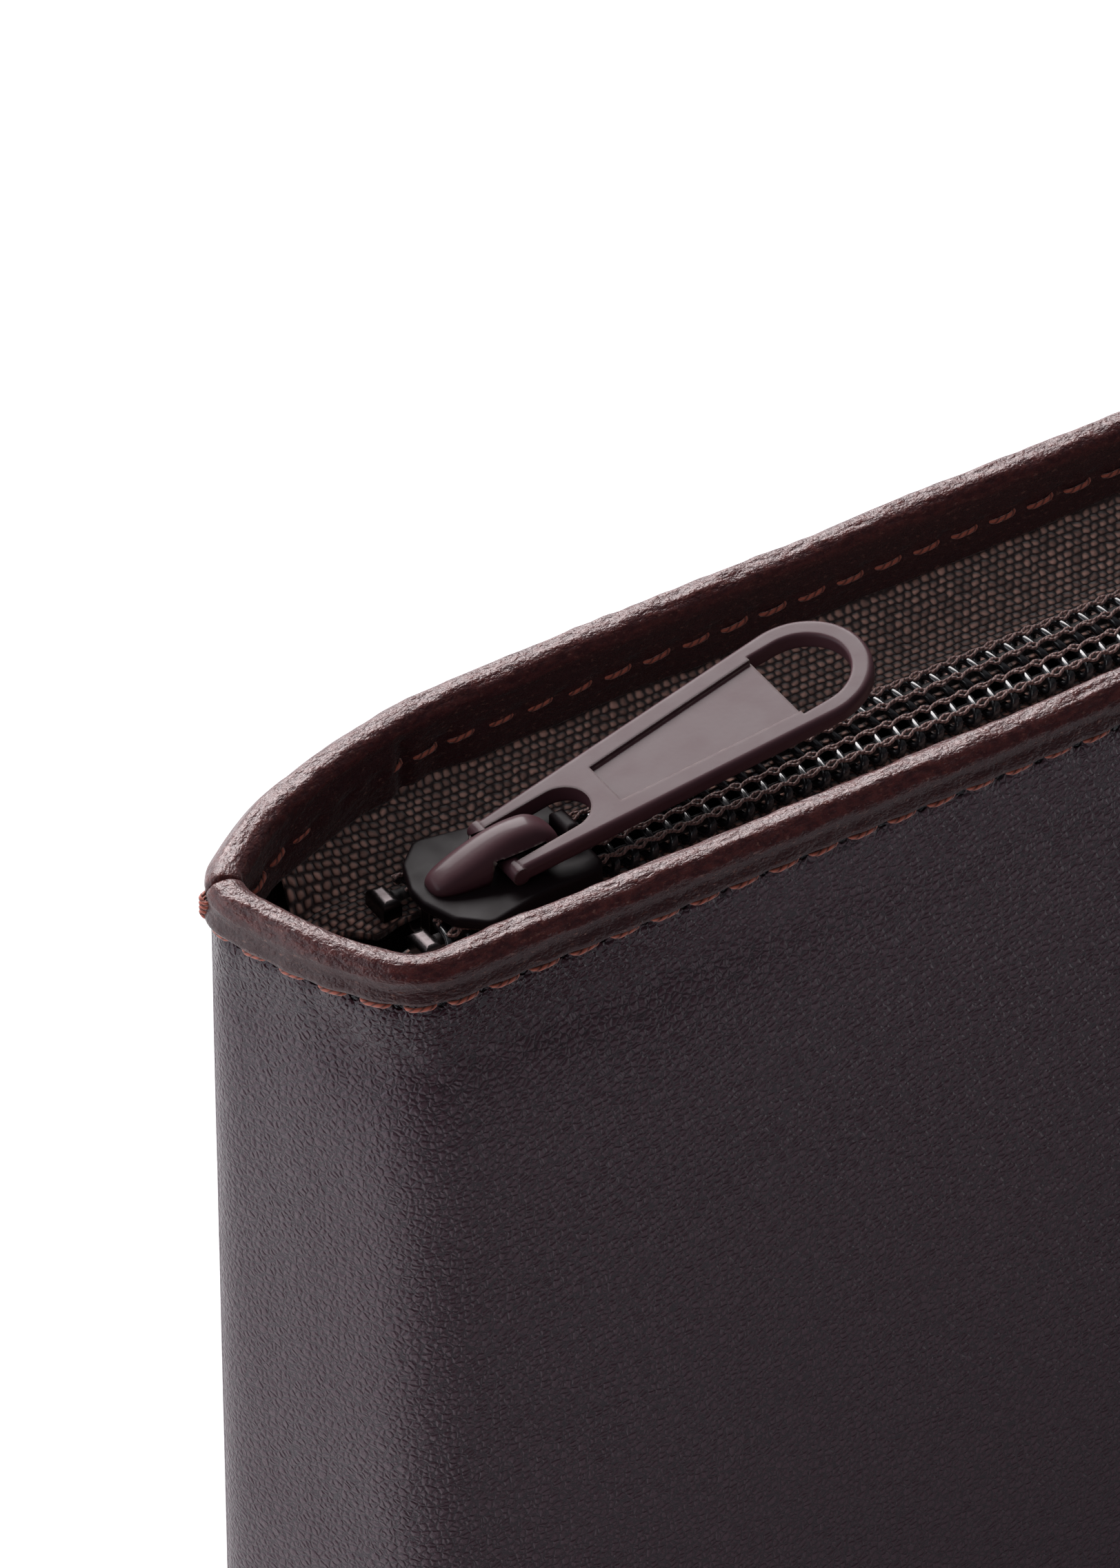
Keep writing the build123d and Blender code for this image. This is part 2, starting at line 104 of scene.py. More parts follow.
floor_half = 3.0
floor_mesh = bpy.data.meshes.new("floor")
floor_mesh.from_pydata(
    [(x * floor_half, y * floor_half, 0) for x, y in ((-1, -1), (1, -1), (1, 1), (-1, 1))],
    [],
    [(0, 1, 2, 3)],
)
floor = bpy.data.objects.new("floor", floor_mesh)
scene.collection.objects.link(floor)
floor_paint = bpy.data.materials.new("pale_floor")
floor_paint.use_nodes = True
floor_paint.node_tree.nodes["Principled BSDF"].inputs["Base Color"].default_value = (0.82, 0.82, 0.83, 1)
floor_paint.node_tree.nodes["Principled BSDF"].inputs["Roughness"].default_value = 0.9
floor_mesh.materials.append(floor_paint)

flag_mesh = bpy.data.meshes.new("black_flag")
flag_mesh.from_pydata([(-1, -0.2, 0), (1.4, -0.2, 0), (1.4, -0.2, 1), (-1, -0.2, 1)], [], [(0, 1, 2, 3)])
flag = bpy.data.objects.new("black_flag", flag_mesh)
scene.collection.objects.link(flag)
flag.visible_camera = flag.visible_diffuse = flag.visible_shadow = False
flag_felt = bpy.data.materials.new("black_felt")
flag_felt.use_nodes = True
flag_felt.node_tree.nodes["Principled BSDF"].inputs["Base Color"].default_value = (0.01, 0.01, 0.012, 1)
flag_felt.node_tree.nodes["Principled BSDF"].inputs["Roughness"].default_value = 1.0
flag_mesh.materials.append(flag_felt)

# ---- wall leather -----------------------------------------------------------------------
# Two panels of dark burgundy cowhide, 1 mm thick, with a fine pebble grain. They stand on a stiffened base, are
# turned in at the side seam of each end, and are pulled in a little at every stitch of the mouth seam.
back_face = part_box("back_panel")[1].y
seam_plane_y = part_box("front_panel")[1].y
wall_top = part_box("front_panel")[1].z
leather = 1.0 * mm
end_corners = [                     # from the tip, from the wall's face
    (17.7 * mm, 0.0, 38.0 * mm),
    (6.4 * mm, 4.0 * mm, 14.0 * mm),
    (-0.65 * mm, back_face - seam_plane_y, 4.0 * mm),
    (2.8 * mm, 2 * back_face - 5.9 * mm, 22.0 * mm),
    (6.8 * mm, 2 * back_face, 5.5 * mm),
]


def rounded_outline(corners, radii, spacing, softness):
    """Closed line through filleted corners, as complex points and outward unit normals, evenly spaced.

    The arc at a corner starts r / tan(half the inside angle) before it; its points turn from that start to the
    end about the arc's centre. The line is then blurred along its length by a Gaussian of the softness.
    """
    corners, radii = np.array(corners, complex), np.array(radii, float)
    before = np.roll(corners, 1) - corners
    after = np.roll(corners, -1) - corners
    before, after = before / abs(before), after / abs(after)
    half = np.arccos(np.clip((before * after.conj()).real, -1, 1)) / 2
    middle = (before + after) / abs(before + after)
    centres = corners + middle * radii / np.sin(half)
    first = corners + before * radii / np.tan(half) - centres
    last = corners + after * radii / np.tan(half) - centres
    bend = np.pi - 2 * half
    step = np.linspace(0, 1, 33)[None, :]
    arcs = first[:, None] * np.sin((1 - step) * bend[:, None]) + last[:, None] * np.sin(step * bend[:, None])
    line = (centres[:, None] + arcs / np.sin(bend)[:, None]).ravel()
    line = np.append(line, line[0])
    travelled = np.append(0, np.cumsum(abs(np.diff(line))))
    count = int(round(travelled[-1] / spacing))
    even = np.linspace(0, travelled[-1], count, endpoint=False)
    points = np.interp(even, travelled, line.real) + 1j * np.interp(even, travelled, line.imag)
    waves = 2 * np.pi * np.fft.fftfreq(count, travelled[-1] / count)
    spectrum = np.fft.fft(points) * np.exp(-0.5 * (waves * softness) ** 2)
    points = np.fft.ifft(spectrum)
    tangents = np.fft.ifft(1j * waves * spectrum)
    area = 0.5 * np.sum((points.conj() * np.roll(points, -1)).imag)
    return points, -1j * np.sign(area) * tangents / abs(tangents)


left_corners = [complex(left_tip + x, back_face - y) for x, y, r in end_corners]
right_corners = [complex(-c.real, c.imag) for c in reversed(left_corners)]
end_radii = [r for x, y, r in end_corners]
plan_spacing = 0.05 * mm
plan, plan_out = rounded_outline(left_corners + right_corners, end_radii + end_radii[::-1], plan_spacing, 0.7 * mm)
start = int(np.argmin(np.where(plan.real < 0, abs(plan.imag - seam_plane_y), 1)))
plan, plan_out = np.roll(plan, -start), np.roll(plan_out, -start)
turning = int(np.argmin(np.where(plan.real > 0, abs(plan.imag - seam_plane_y), 1)))
plan_step = np.mean(abs(np.diff(plan)))
side_plans = {
    "front": (plan[: turning + 1], plan_out[: turning + 1]),
    "back": (np.append(plan[turning:], plan[0])[::-1], np.append(plan_out[turning:], plan_out[0])[::-1]),
}
side_lengths = {side: plan_step * (len(line) - 1) for side, (line, out) in side_plans.items()}


def wall_points(side, distance, inset, height):
    """Points of a wall: the plan line at a distance from the left side seam, less the inset times its outward
    normal, at a height. The three arrays are broadcast against each other."""
    line, out = side_plans[side]
    along = np.arange(len(line)) * plan_step
    distance, inset, height = np.broadcast_arrays(distance, inset, height)
    x = np.interp(distance, along, line.real) - inset * np.interp(distance, along, out.real)
    y = np.interp(distance, along, line.imag) - inset * np.interp(distance, along, out.imag)
    return np.stack([x, y, height], -1)


def shell(name, grid, uv=None, ring=False):
    """Mesh object of one or more closed shells, from points in the order shell, station, step round the section.

    The section closes on itself. The first and last stations are closed by a face each, or joined to each other
    in a ring. Where the signed volume, a sixth of the sum of a.(b x c), is negative, the faces are reversed.
    """
    grid = grid if grid.ndim == 4 else grid[None]
    bodies, stations, steps = grid.shape[:3]
    index = np.arange(bodies * stations * steps).reshape(bodies, stations, steps)
    a = index if ring else index[:, :-1]
    b = np.roll(index, -1, 1) if ring else index[:, 1:]
    quads = np.stack([a, b, np.roll(b, -1, 2), np.roll(a, -1, 2)], -1).reshape(-1, 4)
    co = grid.reshape(-1, 3)
    p, q, r, s = (co[quads[:, k]] - co.mean(0) for k in range(4))
    volume = np.sum(p * np.cross(q, r)) + np.sum(p * np.cross(r, s))
    outward = 1 if volume > 0 else -1
    quads = quads[:, ::outward]
    ends = [] if ring else [index[:, 0, ::outward], index[:, -1, ::-outward]]
    corners = np.concatenate([quads.ravel()] + [e.ravel() for e in ends])
    sizes = np.concatenate([np.full(len(quads), 4)] + [np.full(len(e), steps) for e in ends])
    mesh = bpy.data.meshes.new(name)
    mesh.vertices.add(len(co))
    mesh.vertices.foreach_set("co", co.astype(np.float32).ravel())
    mesh.loops.add(len(corners))
    mesh.loops.foreach_set("vertex_index", corners.astype(np.int32))
    mesh.polygons.add(len(sizes))
    mesh.polygons.foreach_set("loop_start", np.append(0, np.cumsum(sizes)[:-1]).astype(np.int32))
    mesh.polygons.foreach_set("use_smooth", np.ones(len(sizes), bool))
    mesh.update(calc_edges=True)
    if uv is not None:
        uv = uv if uv.ndim == 4 else uv[None]
        rows = (np.arange(stations)[:, None] + (0, 1) if ring else np.arange(stations - 1)[:, None] + (0, 1))
        near, far = uv[:, rows[:, 0]], uv[:, rows[:, 1]]
        loops = np.stack([near[:, :, :-1], far[:, :, :-1], far[:, :, 1:], near[:, :, 1:]], 3)
        loops = loops[:, :, :, ::outward].reshape(-1, 2)
        first, last = uv[:, 0, :-1][:, ::outward], uv[:, -1, :-1][:, ::-outward]
        caps = [] if ring else [first.reshape(-1, 2), last.reshape(-1, 2)]
        layer = mesh.uv_layers.new(name="UVMap")
        layer.data.foreach_set("uv", np.concatenate([loops] + caps).astype(np.float32).ravel())
    piece = bpy.data.objects.new(name, mesh)
    scene.collection.objects.link(piece)
    return piece


def soft_noise(u, v, size_u, size_v, seed):
    """Smooth random relief from -1 to 1: random values on a grid of cells size_u by size_v, joined by
    3t^2 - 2t^3 in both directions."""
    cells = np.random.default_rng(seed).uniform(-1, 1, (257, 257))
    gu, gv = np.mod(u / size_u, 256), np.mod(v / size_v, 256)
    iu, iv = np.floor(gu).astype(int), np.floor(gv).astype(int)
    tu, tv = gu - iu, gv - iv
    tu, tv = tu * tu * (3 - 2 * tu), tv * tv * (3 - 2 * tv)
    low = cells[iu, iv] * (1 - tu) + cells[iu + 1, iv] * tu
    high = cells[iu, iv + 1] * (1 - tu) + cells[iu + 1, iv + 1] * tu
    return low * (1 - tv) + high * tv


def ramp(value, low, high):
    """0 below low, 1 above high, and 3t^2 - 2t^3 between."""
    t = np.clip((value - low) / (high - low), 0, 1)
    return t * t * (3 - 2 * t)


seam_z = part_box("front_mouth_stitching")[1].z - 0.55 * mm
stitch_pitch = 3.05 * mm
stitch_counts = {side: int(round(length / stitch_pitch)) for side, length in side_lengths.items()}
seam_turn = 0.15 * mm


def stations(side, spacing, fine):
    """Distances along a wall: even, and closer together within two seam turns of each end."""
    length = side_lengths[side]
    edge = np.linspace(0, 2 * seam_turn, fine)
    middle = np.arange(2 * seam_turn + spacing, length - 2 * seam_turn - spacing / 2, spacing)
    return np.concatenate([edge, middle, length - edge[::-1]])[:, None]


def end_turn(side, distance, radius):
    """Inset of the quarter round that turns a piece in at a side seam: r - sqrt(r^2 - (r - s)^2)."""
    near = np.minimum(distance, side_lengths[side] - distance)
    gap = np.clip(radius - near, 0, radius)
    return radius - np.sqrt(radius ** 2 - gap ** 2)


def stitch_phase(side, distance):
    """Distance along the mouth seam counted in stitches."""
    return distance / side_lengths[side] * stitch_counts[side]


def wall_relief(side, distance, height):
    """How far the leather stands out from the flat wall: broad waves, a hollow and then a belly below the mouth
    near the closed end, folds at the corner, the groove of the seam, and ripples under the stitches."""
    seed = {"front": 3, "back": 8}[side]
    waves = 0.16 * mm * soft_noise(distance, height, 31 * mm, 24 * mm, seed)
    waves += 0.05 * mm * soft_noise(distance, height, 9 * mm, 7 * mm, seed + 1)
    below = seam_z - height
    near_corner = ramp(distance, 9 * mm, 17 * mm) * (1 - ramp(distance, 34 * mm, 56 * mm))
    belly = 0.85 * mm * ramp(below, 3.5 * mm, 15 * mm) * (0.25 + 0.75 * near_corner)
    belly = belly - 0.6 * mm * (0.2 + 0.8 * near_corner) * np.exp(-((below - 5.2 * mm) / (2.6 * mm)) ** 2)
    belly *= ramp(height, 2 * mm, 50 * mm)
    pull = stitch_phase(side, distance)
    needle = np.cos(2 * np.pi * pull)
    groove = -0.17 * mm * np.exp(-((below / (0.55 * mm)) ** 2)) * (1 + 0.8 * needle)
    ripple = -0.06 * mm * needle * np.exp(-np.clip(below, 0, None) / (2.0 * mm)) * ramp(below, -0.2 * mm, 0.8 * mm)
    folds = 0
    for place, drop, lean, width, size in corner_folds[side]:
        across = distance - place - lean * (below - drop)
        folds = folds + size * np.exp(-((across / width) ** 2) - ((below - drop) / (3.2 * mm)) ** 2)
    from_end = np.minimum(distance, side_lengths[side] - distance)
    return (waves + belly + folds) * ramp(from_end, 0.0, 5 * mm) + groove + ripple


# place along the wall, depth below the seam, lean, half width and height of each soft fold
corner_folds = {
    "front": [
        (14.0 * mm, 3.2 * mm, 0.55, 1.5 * mm, 0.24 * mm),
        (18.0 * mm, 4.6 * mm, 0.9, 1.7 * mm, 0.28 * mm),
        (23.0 * mm, 5.6 * mm, 1.1, 1.9 * mm, 0.24 * mm),
        (10.5 * mm, 4.0 * mm, 0.3, 1.4 * mm, -0.18 * mm),
    ],
    "back": [
        (13.0 * mm, 3.5 * mm, 0.5, 1.6 * mm, 0.2 * mm),
        (19.0 * mm, 5.0 * mm, 0.8, 1.9 * mm, -0.2 * mm),
    ],
}


def new_group(name, inputs, outputs):
    """An empty shader node group with float or vector inputs and outputs, and its two end nodes."""
    group = bpy.data.node_groups.new(name, "ShaderNodeTree")
    for title, kind in inputs:
        group.interface.new_socket(title, in_out="INPUT", socket_type=kind)
    for title, kind in outputs:
        group.interface.new_socket(title, in_out="OUTPUT", socket_type=kind)
    return group, group.nodes.new("NodeGroupInput"), group.nodes.new("NodeGroupOutput")


def feed(tree, value, socket):
    """Links a socket to another, or sets it to a plain value."""
    if isinstance(value, bpy.types.NodeSocket):
        tree.links.new(value, socket)
    else:
        socket.default_value = value


def calc(tree, operation, *values):
    """A Math node's result for one to three values or sockets."""
    node = tree.nodes.new("ShaderNodeMath")
    node.operation = operation
    for value, socket in zip(values, node.inputs):
        feed(tree, value, socket)
    return node.outputs[0]


def spread(tree, value, low, high, to_low=0.0, to_high=1.0):
    """A smooth Map Range from one span to another."""
    node = tree.nodes.new("ShaderNodeMapRange")
    node.interpolation_type = "SMOOTHSTEP"
    for value, socket in zip((value, low, high, to_low, to_high), node.inputs):
        feed(tree, value, socket)
    return node.outputs[0]


def blend_colors(tree, share, first, second):
    """A Mix Color node between two colours or sockets."""
    node = tree.nodes.new("ShaderNodeMix")
    node.data_type = "RGBA"
    feed(tree, share, node.inputs["Factor"])
    feed(tree, first, node.inputs["A"])
    feed(tree, second, node.inputs["B"])
    return node.outputs["Result"]


def noise(tree, vector, scale, detail=2.0, roughness=0.5):
    """A Noise Texture's value on a vector."""
    node = tree.nodes.new("ShaderNodeTexNoise")
    feed(tree, vector, node.inputs["Vector"])
    feed(tree, scale, node.inputs["Scale"])
    node.inputs["Detail"].default_value = detail
    node.inputs["Roughness"].default_value = roughness
    return node.outputs[0]


def scaled(tree, vector, factors):
    """A vector multiplied part by part, which stretches a pattern."""
    node = tree.nodes.new("ShaderNodeVectorMath")
    node.operation = "MULTIPLY"
    feed(tree, vector, node.inputs[0])
    node.inputs[1].default_value = factors
    return node.outputs[0]


def bumped(tree, height, distance, strength=1.0, under=None):
    """A Bump node's normal, over another normal where one is given."""
    node = tree.nodes.new("ShaderNodeBump")
    node.inputs["Strength"].default_value = strength
    node.inputs["Distance"].default_value = distance
    feed(tree, height, node.inputs["Height"])
    if under is not None:
        feed(tree, under, node.inputs["Normal"])
    return node.outputs[0]


def new_finish(name, **sockets):
    """A material of one Principled BSDF with constants on its own sockets, its tree, shader and coordinates."""
    material = bpy.data.materials.new(name)
    material.use_nodes = True
    tree = material.node_tree
    shader = tree.nodes["Principled BSDF"]
    for title, value in sockets.items():
        shader.inputs[title.replace("_", " ")].default_value = value
    where = tree.nodes.new("ShaderNodeTexCoord")
    return material, tree, shader, where


def place_group(tree, group, **values):
    """A node group placed in a material, with its inputs set or linked."""
    node = tree.nodes.new("ShaderNodeGroup")
    node.node_tree = group
    for title, value in values.items():
        feed(tree, value, node.inputs[title])
    return node.outputs


def make_pebble_grain():
    """Leather grain: pebbles are cells of a distorted Voronoi pattern, high in the middle and low at their
    borders, with fine pores on top. Puts out Height, Crease (a mask of the borders, where the leathers paint
    shade) and a broad Tone."""
    group, given, result = new_group(
        "pebble_grain",
        [("Vector", "NodeSocketVector"), ("Pebbles", "NodeSocketFloat")],
        [("Height", "NodeSocketFloat"), ("Crease", "NodeSocketFloat"), ("Tone", "NodeSocketFloat")],
    )
    vector, pebbles = given.outputs["Vector"], given.outputs["Pebbles"]
    warp = group.nodes.new("ShaderNodeTexNoise")
    feed(group, vector, warp.inputs["Vector"])
    feed(group, pebbles, warp.inputs["Scale"])
    warp.inputs["Detail"].default_value = 1.0
    push = group.nodes.new("ShaderNodeVectorMath")
    push.operation = "MULTIPLY_ADD"
    feed(group, warp.outputs["Color"], push.inputs[0])
    push.inputs[1].default_value = (0.0004, 0.0004, 0.0004)
    feed(group, vector, push.inputs[2])
    cells = group.nodes.new("ShaderNodeTexVoronoi")
    cells.feature = "DISTANCE_TO_EDGE"
    feed(group, push.outputs[0], cells.inputs["Vector"])
    feed(group, pebbles, cells.inputs["Scale"])
    domes = spread(group, cells.outputs["Distance"], 0.0, 0.34)
    pores = noise(group, vector, calc(group, "MULTIPLY", pebbles, 4.0), 2.0)
    broad = noise(group, vector, calc(group, "MULTIPLY", pebbles, 0.32), 2.0)
    height = calc(group, "ADD", calc(group, "MULTIPLY", domes, 0.62), calc(group, "MULTIPLY", pores, 0.3))
    height = calc(group, "ADD", height, calc(group, "MULTIPLY", broad, 0.7))
    feed(group, height, result.inputs["Height"])
    feed(group, spread(group, cells.outputs["Distance"], 0.12, 0.0), result.inputs["Crease"])
    feed(group, noise(group, vector, calc(group, "MULTIPLY", pebbles, 0.035), 3.0), result.inputs["Tone"])
    return group


pebble_grain = make_pebble_grain()


def make_wall_leather():
    """Burgundy cowhide: pebble grain with painted shade in its creases, gloss that varies over the hide, needle holes
    painted near-black as shade where the seam's stitch count is whole, and painted shade in a band under the
    mouth seam near the left tip."""
    material, tree, shader, where = new_finish("wall_leather", IOR=1.5, Coat_Weight=0.0)
    shader.inputs["Specular Tint"].default_value = (0.88, 0.93, 1.0, 1)
    grain = place_group(tree, pebble_grain, Vector=where.outputs["Object"], Pebbles=1900.0)
    seam = tree.nodes.new("ShaderNodeSeparateXYZ")
    tree.links.new(where.outputs["UV"], seam.inputs[0])
    along = calc(tree, "PINGPONG", seam.outputs["X"], 0.5)
    along = calc(tree, "MULTIPLY", along, stitch_pitch / mm)
    squares = calc(tree, "POWER", along, 2.0), calc(tree, "POWER", seam.outputs["Y"], 2.0)
    away_from_hole = calc(tree, "SQRT", calc(tree, "ADD", *squares))
    hole = spread(tree, away_from_hole, 0.46, 0.30)
    tone = blend_colors(tree, grain["Tone"], (0.046, 0.019, 0.027, 1), (0.064, 0.028, 0.038, 1))
    # Painted shade: a band under the mouth seam near the left tip is darkened; its roughness is lowered too.
    below_seam = spread(tree, seam.outputs["Y"], -8.5, -1.0)
    mouth_shade_band = calc(tree, "MULTIPLY", below_seam, spread(tree, seam.outputs["X"], 15.0, 9.0))
    tone = blend_colors(tree, calc(tree, "MULTIPLY", mouth_shade_band, 0.95), tone, (0.030, 0.006, 0.011, 1))
    # Painted shade: the grain's creases are darkened towards near-black.
    creased = blend_colors(tree, calc(tree, "MULTIPLY", grain["Crease"], 0.8), tone, (0.010, 0.004, 0.006, 1))
    # Painted shade: the needle holes are coloured near-black.
    color = blend_colors(tree, hole, creased, (0.003, 0.0015, 0.002, 1))
    tree.links.new(color, shader.inputs["Base Color"])
    gloss = spread(tree, grain["Tone"], 0.3, 0.7, 0.29, 0.37)
    feed(tree, calc(tree, "SUBTRACT", gloss, calc(tree, "MULTIPLY", mouth_shade_band, 0.12)), shader.inputs["Roughness"])
    holes = bumped(tree, calc(tree, "SUBTRACT", 1.0, hole), 0.25 * mm, 0.8)
    tree.links.new(bumped(tree, grain["Height"], 0.17 * mm, 0.9, holes), shader.inputs["Normal"])
    return material


wall_leather = make_wall_leather()
turn_under = 1.1 * mm
foot = np.linspace(0, np.pi / 2, 7)
outer_heights = np.concatenate([
    turn_under * (1 - np.cos(foot)),
    np.arange(2.0 * mm, seam_z - 7 * mm, 1.35 * mm),
    np.arange(seam_z - 7 * mm, seam_z - 1.6 * mm, 0.42 * mm),
    np.arange(seam_z - 1.6 * mm, seam_z + 1.0 * mm, 0.16 * mm),
    np.linspace(seam_z + 1.1 * mm, wall_top, 3),
])
outer_insets = np.concatenate([turn_under * (1 - np.sin(foot)), np.zeros(len(outer_heights) - len(foot))])
inner_heights = np.array([wall_top, seam_z, wall_top * 0.5, turn_under])
section_height = np.append(outer_heights, inner_heights)[None, :]
section_inset = np.append(outer_insets, np.full(len(inner_heights), leather))[None, :]
is_outer = np.append(np.ones(len(outer_heights)), np.zeros(len(inner_heights)))[None, :]

for side in ("front", "back"):
    distance = stations(side, 0.36 * mm, 11)
    relief = wall_relief(side, distance, section_height) * is_outer * ramp(section_height, 0.2 * mm, 4 * mm)
    inset = section_inset + end_turn(side, distance, seam_turn) - relief
    panel_grid = wall_points(side, distance, inset, section_height)
    phase = stitch_phase(side, distance)
    lift = (section_height - seam_z) / mm
    uv_u = np.repeat(phase, section_height.shape[1] + 1, 1)
    uv_v = np.repeat(np.append(lift, lift[:, :1], 1), len(distance), 0)
    panel = shell(side + "_wall", panel_grid, np.stack([uv_u, uv_v], -1))
    panel.data.materials.append(wall_leather)
    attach(panel, "pouch")
    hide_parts(side + "_panel")

# ---- mouth binding ----------------------------------------------------------------------
# A strip of skived leather, 0.7 mm thick, folded over the top of each wall and of the zipper tape. Its crown is
# flattened and creased by the fold, and its lower edge bulges between the stitches that hold it.
inner_edge_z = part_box("front_binding")[0].z
outer_edge_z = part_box("front_mouth_stitching")[1].z
binding_proud = left_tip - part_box("front_binding")[0].x
tape_thickness = 0.5 * mm
binding_inner = leather + tape_thickness + binding_proud
binding_corners = [                 # outward from the wall's face, height, radius
    (binding_proud, outer_edge_z, 0.28 * mm),
    (0.42 * binding_proud, crown_z - 1.7 * mm, 0.8 * mm),
    (0.62 * binding_proud, crown_z - 0.9 * mm, 0.7 * mm),
    (-0.35 * mm, crown_z, 0.7 * mm),
    (-binding_inner, crown_z, 1.05 * mm),
    (-binding_inner, inner_edge_z, 0.24 * mm),
    (binding_proud - binding_inner, inner_edge_z, 0.12 * mm),
    (binding_proud - binding_inner, wall_top, 0.15 * mm),
    (0.0, wall_top, 0.15 * mm),
    (0.0, outer_edge_z, 0.2 * mm),
]
binding_line, binding_out = rounded_outline(
    [complex(x, z) for x, z, r in binding_corners], [r for x, z, r in binding_corners], 0.19 * mm, 0.05 * mm
)
binding_step = np.arange(len(binding_line) + 1) * 0.19 * mm
binding_x, binding_z = binding_line.real[None, :], binding_line.imag[None, :]
drop = crown_z - binding_z
outside = ramp(binding_x, 0.0, 0.4 * mm)
inside = ramp(-binding_x, binding_inner - 0.45 * mm, binding_inner - 0.15 * mm)
on_crown = ramp(binding_z, crown_z - 0.75 * mm, crown_z - 0.35 * mm)
visible = np.clip(outside + inside + on_crown, 0, 1)
binding_round = 0.5 * mm


def binding_relief(side, distance):
    """Relief of the binding: long lumps, creases that run along the crown, cross wrinkles, a waist at each
    stitch on both legs, and upright buckles of the inner leg where the end of the pouch curves."""
    seed = {"front": 21, "back": 34}[side]
    around = binding_step[None, :-1]
    needle = np.cos(2 * np.pi * stitch_phase(side, distance))
    relief = 0.10 * mm * soft_noise(distance, around, 8 * mm, 2.6 * mm, seed)
    creases = soft_noise(distance, around, 2.4 * mm, 0.42 * mm, seed + 1)
    creases = creases + 0.7 * soft_noise(distance, around, 1.1 * mm, 0.6 * mm, seed + 2)
    relief = relief + 0.06 * mm * creases * ramp(2.0 * mm - drop, 0.0, 0.9 * mm)
    relief = relief - 0.045 * mm * needle * outside * np.exp(-((drop - 2.7 * mm) / (0.9 * mm)) ** 2)
    relief = relief - inside * (0.10 + 0.10 * needle) * mm * np.exp(-((drop - 3.1 * mm) / (0.5 * mm)) ** 2)
    bend = ramp(distance, 1 * mm, 6 * mm) * (1 - ramp(distance, 24 * mm, 42 * mm))
    buckles = soft_noise(distance, around, 3.4 * mm, 14 * mm, seed + 3)
    relief = relief + inside * (0.08 + 0.3 * bend) * mm * buckles * ramp(drop, 1.2 * mm, 3 * mm)
    notch = np.exp(-(((distance - 21 * mm) / (0.7 * mm)) ** 2)) * (side == "back")
    relief = relief - 0.55 * mm * notch * inside * ramp(drop, 0.6 * mm, 2.5 * mm)
    return relief


def make_binding_leather():
    """Skived red-brown leather: streaks along the strip where the fold has creased it, paler and glossier on
    the crests, over a fine grain. The legs below the crown are painted darker as shade, and the grain's creases
    get painted shade."""
    material, tree, shader, where = new_finish("binding_leather", IOR=1.5, Sheen_Weight=0.12, Sheen_Roughness=0.4)
    shader.inputs["Specular Tint"].default_value = (1.0, 0.92, 0.92, 1)
    streaks = noise(tree, scaled(tree, where.outputs["UV"], (1.1, 2.2, 1)), 1.0, 4.0, 0.6)
    flecks = noise(tree, scaled(tree, where.outputs["UV"], (2.0, 3.6, 1)), 1.0, 3.0)
    grain = place_group(tree, pebble_grain, Vector=where.outputs["Object"], Pebbles=2300.0)
    base = blend_colors(tree, spread(tree, streaks, 0.35, 0.68), (0.040, 0.006, 0.008, 1), (0.090, 0.018, 0.016, 1))
    place = tree.nodes.new("ShaderNodeSeparateXYZ")
    tree.links.new(where.outputs["Object"], place.inputs[0])
    # Painted shade: the legs below the crown are darkened, so the crown looks lit.
    leg = spread(tree, place.outputs["Z"], crown_z - 0.6 * mm, crown_z - 1.4 * mm)
    base = blend_colors(tree, calc(tree, "MULTIPLY", leg, 0.8), base, (0.024, 0.006, 0.008, 1))
    rubbed = calc(tree, "MULTIPLY", spread(tree, flecks, 0.58, 0.76), 0.5)
    worn = blend_colors(tree, rubbed, base, (0.23, 0.11, 0.085, 1))
    # Painted shade: the grain's creases are darkened.
    color = blend_colors(tree, calc(tree, "MULTIPLY", grain["Crease"], 0.3), worn, (0.02, 0.007, 0.007, 1))
    tree.links.new(color, shader.inputs["Base Color"])
    feed(tree, spread(tree, flecks, 0.45, 0.7, 0.33, 0.19), shader.inputs["Roughness"])
    fine = bumped(tree, grain["Height"], 0.04 * mm, 0.6)
    tree.links.new(bumped(tree, streaks, 0.22 * mm, 0.7, fine), shader.inputs["Normal"])
    return material


binding_leather = make_binding_leather()
for side in ("front", "back"):
    distance = stations(side, 0.36 * mm, 11)
    push = binding_relief(side, distance) * visible
    push = push - end_turn(side, distance, binding_round) * visible
    inset = -(binding_x + push * binding_out.real[None, :])
    binding_grid = wall_points(side, distance, inset, binding_z + push * binding_out.imag[None, :])
    uv_u = np.repeat(distance / mm, len(binding_step), 1)
    uv_v = np.repeat(binding_step[None, :] / mm, len(distance), 0)
    binding = shell(side + "_edge_binding", binding_grid, np.stack([uv_u, uv_v], -1))
    binding.data.materials.append(binding_leather)
    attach(binding, "pouch")
    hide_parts(side + "_binding")

# ---- mouth seam and end tacks -----------------------------------------------------------
# Waxed red-brown thread in 3 mm lock stitches, outside just under the binding and inside on its inner leg. Each
# stitch dives into its needle holes. A bar of the same thread ties the two bindings together at each tip.
thread_radius = 0.17 * mm
stitch_bite = 0.14                  # share of the pitch hidden in each needle hole


